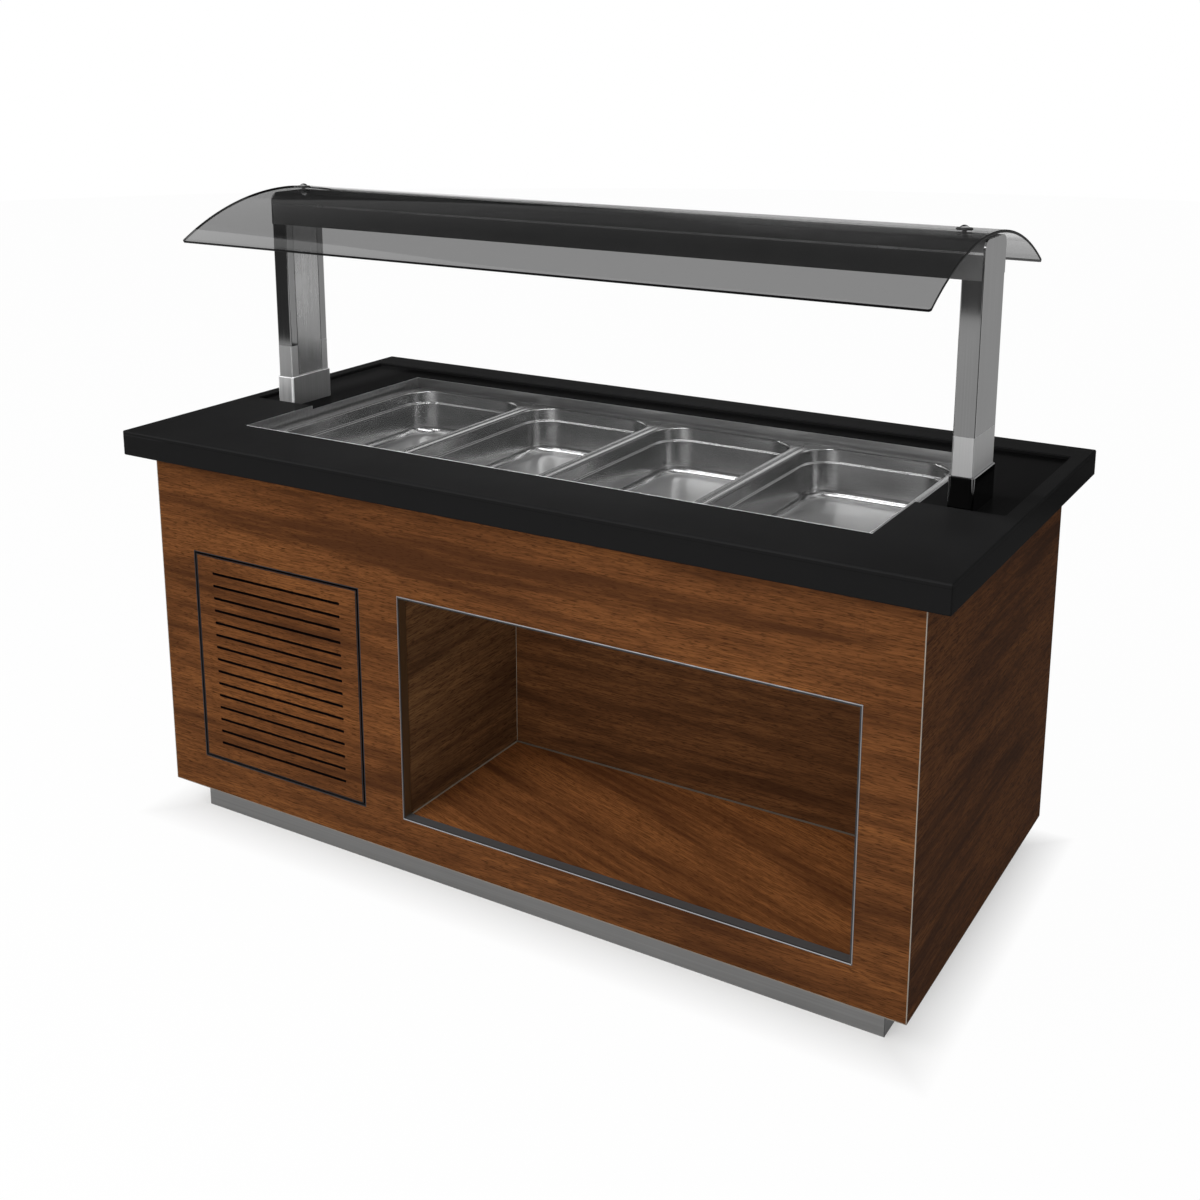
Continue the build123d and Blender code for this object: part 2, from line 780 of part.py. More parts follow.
# Drain valve: round ball housing with hexagon ends and a stem towards the front
stem_root = drain_y - (valve_body_diameter + drain_bore) / 4
lever_back = stem_tip + lever_sheet + lever_face_gap
with BuildPart() as drain_valve:
    with BuildSketch(Plane.XY.offset(valve_bottom)):
        with Locations((drain_x, drain_y)):
            RegularPolygon(valve_end_diameter / 2, 6)
    extrude(amount=valve_length)
    with BuildSketch(Plane.XY.offset(valve_z - valve_body_length / 2)):
        with Locations((drain_x, drain_y)):
            Circle(valve_body_diameter / 2)
    extrude(amount=valve_body_length)
    with BuildSketch(Plane.XZ.offset(-stem_root)):
        with Locations((drain_x, valve_z)):
            Circle(valve_stem_diameter)
    extrude(amount=stem_root - lever_back - lever_face_gap)
    with BuildSketch(Plane.XZ.offset(-stem_root)):
        with Locations((drain_x, valve_z)):
            Circle(valve_stem_diameter / 2)
    extrude(amount=stem_root - stem_tip)
    with BuildSketch(Plane.XY.offset(valve_bottom)):
        with Locations((drain_x, drain_y)):
            Circle(drain_bore / 2)
    extrude(amount=valve_length, mode=Mode.SUBTRACT)
keep(drain_valve, "drain_valve")

# Lever of the drain valve: a hub with a flat arm, lying level when shut
with BuildPart() as drain_lever:
    with BuildSketch(Plane.XZ.offset(-lever_back)):
        with Locations((drain_x, valve_z)):
            Circle(lever_hub_diameter / 2)
        with Locations((drain_x + lever_length / 2, valve_z)):
            SlotOverall(lever_length + lever_width, lever_width)
        with Locations((drain_x, valve_z)):
            Circle(valve_stem_diameter / 2 + lever_running_gap, mode=Mode.SUBTRACT)
    extrude(amount=lever_sheet)
keep(drain_lever, "drain_lever")

# Drain pipe down through the base panel, with a tail for a hose
drain_pipe = turned(
    drain_x,
    drain_y,
    [
        (drain_bore / 2, pipe_floor_gap),
        (tail_diameter / 2, pipe_floor_gap),
        (tail_diameter / 2, pipe_floor_gap + tail_length),
        (pipe_diameter / 2, pipe_floor_gap + tail_length),
        (pipe_diameter / 2, valve_bottom),
        (drain_bore / 2, valve_bottom),
    ],
)
keep(drain_pipe, "drain_pipe")

# Terminal box on the inside of the rear panel
with BuildPart() as terminal_box:
    with BuildSketch(Plane.XZ.offset(-inner_y)):
        with Locations((terminal_x, terminal_z)):
            Rectangle(terminal_width, terminal_height)
    extrude(amount=terminal_depth)
    chamfer(terminal_box.faces().sort_by(Axis.Y)[0].edges(), terminal_edge)
keep(terminal_box, "terminal_box")

# Cable gland through the rear panel
with BuildPart() as cable_gland:
    with BuildSketch(Plane.XZ.offset(-inner_y)):
        with Locations((gland_x, gland_z)):
            RegularPolygon(gland_nut / 2, 6)
    extrude(amount=gland_inner_nut)
    with BuildSketch(Plane.XZ.offset(-inner_y)):
        with Locations((gland_x, gland_z)):
            Circle(gland_thread / 2)
    extrude(amount=-board)
    with BuildSketch(Plane.XZ.offset(-body_y)):
        with Locations((gland_x, gland_z)):
            RegularPolygon(gland_nut / 2, 6)
    extrude(amount=-gland_cap)
    chamfer(cable_gland.faces().sort_by(Axis.Y)[-1].edges(), (gland_nut - gland_thread) / 4)
    with BuildSketch(Plane.XZ.offset(-inner_y + gland_inner_nut)):
        with Locations((gland_x, gland_z)):
            Circle(gland_bore / 2)
    extrude(amount=-gland_inner_nut - board - gland_cap, mode=Mode.SUBTRACT)
keep(cable_gland, "cable_gland")

# Control plate at the operator's side
switch_cut_x = switch_mouth_width + 2 * switch_wall
switch_cut_z = switch_mouth + 2 * switch_wall
plate_cut_x = switch_cut_x + 2 * plate_hole_gap
plate_cut_z = switch_cut_z + 2 * plate_hole_gap
pilot_cut_x = pilot_width + 2 * plate_hole_gap
pilot_cut_z = pilot_length + 2 * plate_hole_gap
with BuildPart() as control_plate:
    with BuildSketch(Plane.XZ.offset(-body_y)):
        with Locations((control_x, control_z)):
            RectangleRounded(control_width, control_height, control_corner)
        with Locations((control_x + knob_place, control_z)):
            Circle(bush_diameter / 2 + plate_hole_gap, mode=Mode.SUBTRACT)
        with Locations((control_x + pilot_place, control_z)):
            Rectangle(pilot_cut_x, pilot_cut_z, mode=Mode.SUBTRACT)
        with Locations(*[(place, control_z) for place in switch_places.values()]):
            Rectangle(plate_cut_x, plate_cut_z, mode=Mode.SUBTRACT)
    extrude(amount=-control_sheet)
keep(control_plate, "control_plate")

# Thermostat behind the plate, with a bush through it
knob_x = control_x + knob_place
with BuildPart() as thermostat:
    with BuildSketch(Plane.XZ.offset(-body_y)):
        with Locations((knob_x, control_z)):
            Rectangle(thermostat_size, thermostat_size)
    extrude(amount=thermostat_depth)
    with BuildSketch(Plane.XZ.offset(-body_y)):
        with Locations((knob_x, control_z)):
            Circle(bush_diameter / 2)
    extrude(amount=-control_sheet - bush_length)
    with BuildSketch(Plane.XZ.offset(-plate_face - bush_length)):
        with Locations((knob_x, control_z)):
            Circle(spindle_diameter / 2 + spindle_gap)
    extrude(amount=control_sheet + bush_length + spindle_depth, mode=Mode.SUBTRACT)
keep(thermostat, "thermostat")

# Thermostat knob with a faceted, tapered grip, on its spindle
knob_back = plate_face + bush_length + knob_gap
with BuildPart() as thermostat_knob:
    with BuildSketch(Plane.XZ.offset(-knob_back)):
        with Locations((knob_x, control_z)):
            RegularPolygon(knob_diameter / 2, knob_sides)
    extrude(amount=-knob_height, taper=knob_taper)
    with BuildSketch(Plane.XZ.offset(-knob_back)):
        with Locations((knob_x, control_z)):
            Circle(spindle_diameter / 2)
    extrude(amount=knob_back - body_y + spindle_depth - knob_gap)
keep(thermostat_knob, "thermostat_knob")

# Switch frames: bezel, box and pin holes
switch_floor = rocker_pivot - rocker_keel - rocker_floor_gap
with BuildPart() as switch_frames:
    with BuildSketch(Plane.XZ.offset(-plate_face)):
        with Locations(*[(place, control_z) for place in switch_places.values()]):
            Rectangle(switch_cut_x + 2 * bezel_margin, switch_cut_z + 2 * bezel_margin)
    extrude(amount=-bezel_height)
    chamfer(switch_frames.faces().group_by(Axis.Y)[-1].edges(), bezel_height / 2)
    with BuildSketch(Plane.XZ.offset(-plate_face)):
        with Locations(*[(place, control_z) for place in switch_places.values()]):
            Rectangle(switch_cut_x, switch_cut_z)
    extrude(amount=switch_depth)
    with BuildSketch(Plane.XZ.offset(-plate_face - bezel_height)):
        with Locations(*[(place, control_z) for place in switch_places.values()]):
            Rectangle(switch_mouth_width, switch_mouth)
    extrude(amount=plate_face + bezel_height - switch_floor, mode=Mode.SUBTRACT)
    for place in switch_places.values():
        with BuildSketch(Plane.YZ.offset(place - switch_mouth_width / 2 - rocker_pin_reach)):
            with Locations((rocker_pivot, control_z)):
                Circle(rocker_pin_diameter / 2 + rocker_pin_gap)
        extrude(amount=switch_mouth_width + 2 * rocker_pin_reach, mode=Mode.SUBTRACT)
keep(switch_frames, "switch_frames")


def rocker(place):
    """Rocker with a shallow valley face, round ends about its pin, tilted to the off side."""
    keel_half = (rocker_reach**2 - rocker_keel**2) ** 0.5
    face_end = (rocker_end_rise, rocker_half_length)
    with BuildPart() as piece:
        pivot = Plane(
            origin=(place - rocker_width / 2, rocker_pivot, control_z),
            x_dir=(0, cos(radians(rocker_tilt)), sin(radians(rocker_tilt))),
            z_dir=(1, 0, 0),
        )
        with BuildSketch(pivot):
            with BuildLine():
                Polyline((face_end[0], -face_end[1]), (rocker_rise, 0), face_end)
                ThreePointArc(face_end, (0, rocker_reach), (-rocker_keel, keel_half))
                Line((-rocker_keel, keel_half), (-rocker_keel, -keel_half))
                ThreePointArc((-rocker_keel, -keel_half), (0, -rocker_reach), (face_end[0], -face_end[1]))
            make_face()
        extrude(amount=rocker_width)
        pin_reach = rocker_side_gap + rocker_pin_reach - rocker_pin_gap
        with BuildSketch(pivot.offset(-pin_reach)):
            Circle(rocker_pin_diameter / 2)
        extrude(amount=rocker_width + 2 * pin_reach)
    return piece


for name, place in switch_places.items():
    keep(rocker(place), name)

# Pilot lamp: flat lens, bezel and body through the plate
pilot_x = control_x + pilot_place
with BuildPart() as pilot_lamp:
    with BuildSketch(Plane.XZ.offset(-plate_face)):
        with Locations((pilot_x, control_z)):
            Rectangle(pilot_width + 2 * bezel_margin, pilot_length + 2 * bezel_margin)
    extrude(amount=-bezel_height)
    with BuildSketch(Plane.XZ.offset(-plate_face - bezel_height)):
        with Locations((pilot_x, control_z)):
            Rectangle(pilot_width, pilot_length)
    extrude(amount=-pilot_lens)
    chamfer(pilot_lamp.faces().sort_by(Axis.Y)[-1].edges(), pilot_lens_edge)
    with BuildSketch(Plane.XZ.offset(-plate_face)):
        with Locations((pilot_x, control_z)):
            Rectangle(pilot_width, pilot_length)
    extrude(amount=pilot_depth)
keep(pilot_lamp, "pilot_lamp")

# Cover plates in the inner faces of the posts
cover_bottom = recess_floor + collar_height + cover_end_gap
cover_top = beam_bottom - cover_end_gap


def stand_post(side):
    """Post: a square tube whose outer wall runs up as the end plate of the beam."""
    inner_face = side * (post_x - post_width / 2)
    with BuildPart() as post:
        with BuildSketch(Plane.XY.offset(recess_floor)):
            with Locations((side * post_x, stand_y)):
                RectangleRounded(post_width, post_depth, post_edge)
                Rectangle(post_width - 2 * post_wall, post_depth - 2 * post_wall, mode=Mode.SUBTRACT)
        extrude(amount=beam_bottom - recess_floor)
        with BuildSketch(Plane.YZ.offset(side * post_outer)) as plate:
            with Locations((stand_y, (beam_bottom + beam_top) / 2)):
                Rectangle(post_depth, beam_height)
            fillet(plate.vertices().group_by(Axis.Y)[-1], beam_radius)
        extrude(amount=-side * post_wall)
        with Locations((inner_face, stand_y, (cover_bottom + cover_top) / 2)):
            Box(
                2 * cover_recess,
                cover_width + 2 * cover_groove,
                cover_top - cover_bottom + 2 * cover_groove,
                mode=Mode.SUBTRACT,
            )
    return post


def post_cover(side):
    """Flat plate in the recess of a post, with a narrow groove left round it."""
    recess_x = side * (post_x - post_width / 2 + cover_recess / 2)
    with BuildPart() as cover:
        with Locations((recess_x, stand_y, (cover_bottom + cover_top) / 2)):
            Box(cover_recess, cover_width, cover_top - cover_bottom)
    return cover


def post_collar(side):
    """Collar round the foot of a post, with its top edge eased."""
    with BuildPart() as collar:
        with BuildSketch(Plane.XY.offset(recess_floor)):
            with Locations((side * post_x, stand_y)):
                RectangleRounded(
                    post_width + 2 * collar_wall, post_depth + 2 * collar_wall, post_edge + collar_wall
                )
        extrude(amount=collar_height)
        chamfer(collar.faces().sort_by(Axis.Z)[-1].edges(), collar_edge)
        with BuildSketch(Plane.XY.offset(recess_floor)):
            with Locations((side * post_x, stand_y)):
                RectangleRounded(post_width, post_depth, post_edge)
        extrude(amount=collar_height, mode=Mode.SUBTRACT)
    return collar


for side, end in ((-1, "left"), (1, "right")):
    keep(stand_post(side), f"post_{end}")
    keep(post_cover(side), f"post_cover_{end}")
    keep(post_collar(side), f"post_collar_{end}")

# Feet inside the posts, with studs through the counter top
stud_length = top_thickness - recess_depth + spreader_sheet + 2 * nut_height
with BuildPart() as post_feet:
    with BuildSketch(Plane.XY.offset(recess_floor)):
        with GridLocations(2 * post_x, 0, 2, 1):
            with Locations((0, stand_y)):
                Rectangle(post_width - 2 * post_wall, post_depth - 2 * post_wall)
    extrude(amount=foot_thickness)
    with BuildSketch(Plane.XY.offset(recess_floor)):
        with Locations(*stud_places):
            Circle(stud_diameter / 2)
    extrude(amount=-stud_length)
keep(post_feet, "post_feet")

# Spreader plates with nuts under the counter top
with BuildPart() as post_nuts:
    with BuildSketch(Plane.XY.offset(top_bottom)):
        with GridLocations(2 * post_x, 0, 2, 1):
            with Locations((0, stand_y)):
                Rectangle(spreader_width, stud_spacing + 2 * spreader_margin)
    extrude(amount=-spreader_sheet)
    with BuildSketch(Plane.XY.offset(top_bottom - spreader_sheet)):
        with Locations(*stud_places):
            RegularPolygon(nut_width / 2, 6, major_radius=False)
    extrude(amount=-nut_height)
    with BuildSketch(Plane.XY.offset(top_bottom)):
        with Locations(*stud_places):
            Circle(stud_diameter / 2)
    extrude(amount=-spreader_sheet - nut_height, mode=Mode.SUBTRACT)
keep(post_nuts, "post_nuts")

# Beam housing: channel with a slot for the diffuser in its floor
bead_bottom = bead_top - bead_height
with BuildPart() as beam_housing:
    with BuildSketch(Plane.YZ.offset(-beam_half)):
        with Locations((stand_y, (beam_bottom + bead_bottom) / 2)):
            Rectangle(post_depth, bead_bottom - beam_bottom)
        with Locations((stand_y, (beam_bottom + bead_bottom) / 2 + beam_sheet)):
            Rectangle(post_depth - 2 * beam_sheet, bead_bottom - beam_bottom, mode=Mode.SUBTRACT)
    extrude(amount=2 * beam_half)
    with BuildSketch(Plane.XY.offset(beam_bottom)):
        with Locations((0, stand_y)):
            Rectangle(light_length, diffuser_width)
    extrude(amount=beam_sheet, mode=Mode.SUBTRACT)
keep(beam_housing, "beam_housing")

# Bright beads between the housing and the cover, front and back
with BuildPart() as beam_beads:
    with BuildSketch(Plane.YZ.offset(-beam_half)):
        with Locations((stand_y, (bead_bottom + bead_top) / 2)):
            Rectangle(post_depth + 2 * bead_proud, bead_height)
            Rectangle(post_depth + 2 * bead_proud - 2 * bead_depth, bead_height, mode=Mode.SUBTRACT)
    extrude(amount=2 * beam_half)
keep(beam_beads, "beam_beads")

# Beam cover: rounded shell, drilled for the canopy studs
with BuildPart() as beam_cover:
    with BuildSketch(Plane.YZ.offset(-beam_half)) as cover_outline:
        with Locations((stand_y, (bead_top + beam_top) / 2)):
            Rectangle(post_depth, beam_top - bead_top)
        fillet(cover_outline.vertices().group_by(Axis.Y)[-1], beam_radius)
    extrude(amount=2 * beam_half)
    with BuildSketch(Plane.YZ.offset(-beam_half)) as cover_hollow:
        with Locations((stand_y, (bead_top + beam_top) / 2 - beam_sheet / 2)):
            Rectangle(post_depth - 2 * beam_sheet, beam_top - bead_top - beam_sheet)
        fillet(cover_hollow.vertices().group_by(Axis.Y)[-1], beam_radius - beam_sheet)
    extrude(amount=2 * beam_half, mode=Mode.SUBTRACT)
    with BuildSketch(Plane.XY.offset(beam_top)):
        with Locations(*canopy_stud_places):
            Circle(canopy_stud_diameter / 2 + canopy_hole_gap)
    extrude(amount=-beam_sheet, mode=Mode.SUBTRACT)
keep(beam_cover, "beam_cover")

# Light strip under the cover
light_top = beam_top - beam_sheet
light_strip = board_between(
    (-light_length / 2, light_length / 2),
    (stand_y - light_width / 2, stand_y + light_width / 2),
    (light_top - light_height, light_top),
)
keep(light_strip, "light_strip")

# Diffuser that drops into the slot of the housing
with BuildPart() as diffuser:
    with BuildSketch(Plane.XY.offset(beam_bottom + beam_sheet)):
        with Locations((0, stand_y)):
            Rectangle(light_length + 2 * diffuser_margin, diffuser_width + 2 * diffuser_margin)
    extrude(amount=diffuser_sheet)
    with BuildSketch(Plane.XY.offset(beam_bottom)):
        with Locations((0, stand_y)):
            Rectangle(light_length - 2 * diffuser_gap, diffuser_width - 2 * diffuser_gap)
    extrude(amount=beam_sheet)
keep(diffuser, "diffuser")

# Canopy: smoked sheet bent to an arc, drilled on its crest
arc_centre = (canopy_y, canopy_crest - canopy_radius)
arc_half = degrees(asin(canopy_chord / 2 / canopy_radius))
with BuildPart() as canopy:
    with BuildSketch(Plane.YZ.offset(-post_outer)):
        with BuildLine():
            outer_arc = CenterArc(arc_centre, canopy_radius, 90 - arc_half, 2 * arc_half)
            inner_arc = CenterArc(arc_centre, canopy_radius - canopy_sheet, 90 - arc_half, 2 * arc_half)
            Line(outer_arc @ 0, inner_arc @ 0)
            Line(outer_arc @ 1, inner_arc @ 1)
        make_face()
    extrude(amount=2 * post_outer)
    fillet(canopy.edges().filter_by(GeomType.LINE).group_by(SortBy.LENGTH)[0], canopy_corner)
    with BuildSketch(Plane.XY.offset(canopy_crest)):
        with Locations(*canopy_stud_places):
            Circle(canopy_stud_diameter / 2 + canopy_hole_gap)
    extrude(amount=-2 * canopy_sheet, mode=Mode.SUBTRACT)
keep(canopy, "canopy")

# Rubber pads between the beam and the canopy
with BuildPart() as canopy_pads:
    with BuildSketch(Plane.XY.offset(beam_top)):
        with Locations(*canopy_stud_places):
            Circle(pad_diameter / 2)
            Circle(canopy_stud_diameter / 2 + canopy_hole_gap, mode=Mode.SUBTRACT)
    extrude(amount=canopy_lift)
    add(canopy.part, mode=Mode.SUBTRACT)
keep(canopy_pads, "canopy_pads")

# Studs that hold the canopy, headed under the beam cover
with BuildPart() as canopy_studs:
    with BuildSketch(Plane.XY.offset(light_top)):
        with Locations(*canopy_stud_places):
            RegularPolygon(canopy_stud_head / 2, 6)
    extrude(amount=-canopy_stud_head_height)
    with BuildSketch(Plane.XY.offset(light_top)):
        with Locations(*canopy_stud_places):
            Circle(canopy_stud_diameter / 2)
    extrude(amount=canopy_crest + cap_washer_height + dome_thread - light_top)
keep(canopy_studs, "canopy_studs")

# Washers on the canopy
with BuildPart() as canopy_washers:
    with BuildSketch(Plane.XY.offset(canopy_crest)):
        with Locations(*canopy_stud_places):
            Circle(cap_washer_diameter / 2)
    extrude(amount=cap_washer_height)
    with BuildSketch(Plane.XY.offset(canopy_crest)):
        with Locations(*canopy_stud_places):
            Circle(canopy_stud_diameter / 2 + canopy_hole_gap)
    extrude(amount=cap_washer_height, mode=Mode.SUBTRACT)
keep(canopy_washers, "canopy_washers")

# Dome nuts on the studs
dome_seat = canopy_crest + cap_washer_height
dome_radius = dome_diameter / 2
crown_radius = (dome_radius**2 + dome_rise**2) / (2 * dome_rise)
crown_centre = (0, dome_seat + dome_skirt + dome_rise - crown_radius)
crown_turn = degrees(asin(dome_radius / crown_radius))
with BuildPart() as dome_nuts:
    for x, y in canopy_stud_places:
        with BuildSketch(upright(x, y)):
            with BuildLine():
                Polyline((0, dome_seat), (dome_radius, dome_seat), (dome_radius, dome_seat + dome_skirt))
                crown = CenterArc(crown_centre, crown_radius, 90 - crown_turn, crown_turn)
                Line(crown @ 1, (0, dome_seat))
            make_face()
        revolve(axis=Axis((x, y, 0), (0, 0, 1)))
    with BuildSketch(Plane.XY.offset(dome_seat)):
        with Locations(*canopy_stud_places):
            Circle(canopy_stud_diameter / 2)
    extrude(amount=dome_thread, mode=Mode.SUBTRACT)
keep(dome_nuts, "dome_nuts")
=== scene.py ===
"""Looks of a hot buffet counter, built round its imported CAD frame.

Sizes are in metres, in the frame's own axes: +X to the right along the customers' front,
+Y to the operators' side and +Z up, with the origin on the floor.
"""

import json
from math import asin, atan2, cos, degrees, pi, radians, sin, tan

import bmesh
import bpy
from bpy.props import FloatProperty, FloatVectorProperty, PointerProperty
from mathutils import Matrix, Vector

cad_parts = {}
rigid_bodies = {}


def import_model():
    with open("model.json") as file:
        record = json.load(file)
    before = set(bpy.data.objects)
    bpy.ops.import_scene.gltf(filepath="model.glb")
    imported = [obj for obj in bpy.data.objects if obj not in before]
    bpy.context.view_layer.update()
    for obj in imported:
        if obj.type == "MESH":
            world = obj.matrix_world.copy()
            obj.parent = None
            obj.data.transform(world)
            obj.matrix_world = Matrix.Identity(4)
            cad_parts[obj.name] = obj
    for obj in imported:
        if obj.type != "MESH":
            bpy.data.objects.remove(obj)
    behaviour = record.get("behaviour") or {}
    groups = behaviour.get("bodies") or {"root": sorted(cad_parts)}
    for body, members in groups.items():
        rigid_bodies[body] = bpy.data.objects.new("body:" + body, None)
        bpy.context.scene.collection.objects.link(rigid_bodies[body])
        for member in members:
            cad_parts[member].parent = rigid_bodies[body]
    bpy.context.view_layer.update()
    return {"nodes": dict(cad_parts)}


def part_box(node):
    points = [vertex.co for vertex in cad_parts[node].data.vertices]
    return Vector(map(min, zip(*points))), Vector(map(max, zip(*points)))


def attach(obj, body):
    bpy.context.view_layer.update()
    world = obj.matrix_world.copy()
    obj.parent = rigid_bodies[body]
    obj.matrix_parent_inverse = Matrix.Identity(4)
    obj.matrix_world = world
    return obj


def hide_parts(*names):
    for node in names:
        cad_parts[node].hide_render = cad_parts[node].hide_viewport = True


bl_info = {
    "name": "Hot buffet counter",
    "version": (1, 0, 0),
    "blender": (4, 5, 0),
    "location": "3D View > Sidebar > Counter",
    "description": "Dresses the counter's frame with its finishes, food pans, canopy and controls",
    "category": "Object",
}

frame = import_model()
pan_nodes = sorted(name for name in frame["nodes"] if name.startswith("gn_pan_"))

# Directions, and white with its alpha
UP = Vector((0, 0, 1))
BACK = Vector((0, 1, 0))
WHITE = (1, 1, 1, 1)
# How near two places count as one, and how near two points are joined
NEAR = 1e-5
JOIN = 1e-6
# Depth of a face that is picked out by its place, and how far a band runs past a piece's end
SKIN = 0.0008
PAST = 0.001
# Range that most values of a noise lie in, and the roughness of satin steel
NOISE = (0.3, 0.7)
SATIN = 0.42


def length(description, default):
    """Property for a size in metres."""
    return FloatProperty(description=description, default=default, min=0, precision=4, unit="LENGTH")


def angle(description, default):
    """Property for an angle, given in degrees."""
    return FloatProperty(description=description, default=radians(default), subtype="ANGLE")


def amount(description, default):
    """Property for a plain number."""
    return FloatProperty(description=description, default=default)


def colour(description, *tone):
    """Property for a linear colour, which is a grey if only one number is given."""
    tone = tone * (3 // len(tone))
    return FloatVectorProperty(description=description, default=tone, size=3, min=0, max=1, subtype="COLOR")


class CounterSizes(bpy.types.PropertyGroup):
    """Sizes of the pieces that are modelled here, and of the bands in their finishes."""

    pan_sheet: length("Thickness of the steel", 0.0012)
    pan_rim: length("Width of the flat rim", 0.0125)
    pan_rim_corner: length("Corner radius of the rim", 0.016)
    pan_rim_roll: length("Radius from rim to lip", 0.0022)
    pan_lip: length("Height of the turned-down lip", 0.005)
    pan_corner: length("Corner radius of the bowl's mouth", 0.062)
    pan_mouth_roll: length("Radius from rim to bowl", 0.004)
    pan_shoulder_drop: length("Stacking shoulder below the rim", 0.028)
    pan_shoulder_step: length("Width of the shoulder", 0.004)
    pan_shoulder_fall: length("Fall of the shoulder", 0.0006)
    pan_shoulder_roll: length("Radius at the shoulder's edges", 0.0016)
    pan_draft: angle("Slope of the walls", 4)
    pan_floor_radius: length("Radius from walls to floor", 0.018)
    pan_satin: length("Height of the satin steel over the floor", 0.004)
    canopy_sheet: length("Thickness of the sheet", 0.005)
    canopy_rise: length("Height of the arch over its chord", 0.0835)
    canopy_corner: length("Corner radius of the sheet", 0.005)
    canopy_edge: length("Ease of the edges", 0.0006)
    dome_skirt: length("Straight part of a dome nut", 0.001)
    washer_edge: length("Rounding of a washer's rim", 0.0012)
    screw_radius: length("Radius of the heads", 0.0032)
    screw_height: length("Height of the heads", 0.0014)
    screw_inset: length("From the plate's edges to a screw", 0.008)
    knob_skirt: length("Height of the round skirt", 0.0035)
    knob_waist: length("Radius of the grip at its skirt", 0.0155)
    knob_crown: length("Radius of the grip at its end", 0.0138)
    knob_flute: length("Depth of the flutes", 0.0007)
    knob_gap: length("From the thermostat's bush", 0.0005)
    knob_ease: length("Rounding of the edges", 0.0008)
    dial_radius: length("Radius of the ring of marks", 0.0255)
    dial_sweep: angle("Turn from low to high", 270)
    tick: length("Length of a mark on the dial", 0.0035)
    figure: length("Height of the dial's figures", 0.0056)
    print_height: length("Thickness of printed marks", 0.0001)
    lens_height: length("Pilot lamp's lens over its bezel", 0.003)
    rocker_ring: length("Radius of the off mark", 0.0022)
    board_edge: length("Pale edge at the foot of the boards", 0.0016)
    board_joint: length("Line where the niche's boards meet", 0.0012)
    # Painted shade in the vent's slots starts at this depth
    vent_face: length("Depth below which the slots are black", 0.0006)
    vent_side_line: length("Black line down the sides", 0.003)
    vent_end_line: length("Black line along the ends", 0.002)
    # Below this depth the top's edges carry a painted shade
    top_face: length("Depth that is not yet the edge", 0.003)
    # Size of the painted highlight along the lining's front edge
    lining_width: length("Width of the bright line", 0.004)
    lining_height: length("Height of the bright line", 0.003)
    trim_sheet: length("Depth behind which the legs start", 0.0013)
    trim_half: length("Width of the face's outer half", 0.0015)
    trim_sill: length("Height of the sill", 0.006)
    post_foot: length("Satin foot over the collars", 0.068)


class CounterColours(bpy.types.PropertyGroup):
    """Colours of the finishes."""

    wood_light: colour("Pale streaks of the laminate", 0.190, 0.072, 0.0215)
    wood_mid: colour("Main tone of the laminate", 0.128, 0.0475, 0.0150)
    wood_dark: colour("Dark streaks of the laminate", 0.052, 0.0190, 0.0068)
    edging: colour("Pale edges of the boards", 0.22, 0.19, 0.15)
    timber: colour("Inside the carcass", 0.40, 0.27, 0.15)
    slab: colour("Counter top", 0.0160, 0.0160, 0.0162)
    # Painted shade: the recess floor is the top's own black, painted darker
    recess: colour("Floor of the top's recess", 0.0060, 0.0060, 0.0061)
    vent_black: colour("Surround of the vent panel", 0.017, 0.017, 0.018)
    plinth: colour("Satin steel", 0.19, 0.189, 0.187)
    trim: colour("Steel round the niche mouth", 0.24, 0.24, 0.245)
    # Painted shade: the tone that the niche's walls show in shade
    leg: colour("Trim at the niche's ends and ceiling", 0.075, 0.040, 0.018)
    sill: colour("Trim at the niche floor", 0.085, 0.085, 0.087)
    pan: colour("Stainless steel", 0.43)
    well: colour("Stainless steel", 0.42)
    # Painted highlight along the well's front edge
    lining: colour("Bright line along the well's front", 0.9)
    post: colour("Polished steel", 0.49)
    plated: colour("Catches, nuts and feet", 0.42, 0.42, 0.43)
    beam: colour("Black coating", 0.11)
    bead: colour("Bright bead along the beam", 0.75)
    board: colour("Light strip", 0.72, 0.72, 0.70)
    opal: colour("Diffuser", 0.80, 0.80, 0.78)
    smoke: colour("Tint of the canopy", 0.010)
    chrome: colour("Dome nuts and studs", 0.36)
    rubber: colour("Washers and pads", 0.012)
    element: colour("Heating element", 0.20, 0.18, 0.16)
    wool: colour("Tank's jacket", 0.62, 0.56, 0.42)
    wool_light: colour("Pale tufts", 0.74, 0.69, 0.55)
    wool_dark: colour("Dark tufts", 0.50, 0.44, 0.31)
    brass: colour("Drain fitting and valve", 0.62, 0.44, 0.18)
    lever: colour("Dipped lever of the drain valve", 0.42, 0.02, 0.016)
    pipe: colour("Drain pipe", 0.36)
    box: colour("Terminal box and thermostat", 0.42, 0.42, 0.41)
    gland: colour("Cable gland", 0.014)
    plate: colour("Control plate", 0.45)
    screw: colour("Small screws", 0.5)
    lamp: colour("Lens of the pilot lamp", 0.75, 0.22, 0.02)
    plastic: colour("Knob, rockers and their frames", 0.013)
    mark: colour("Marks on the knob and rockers", 0.75)


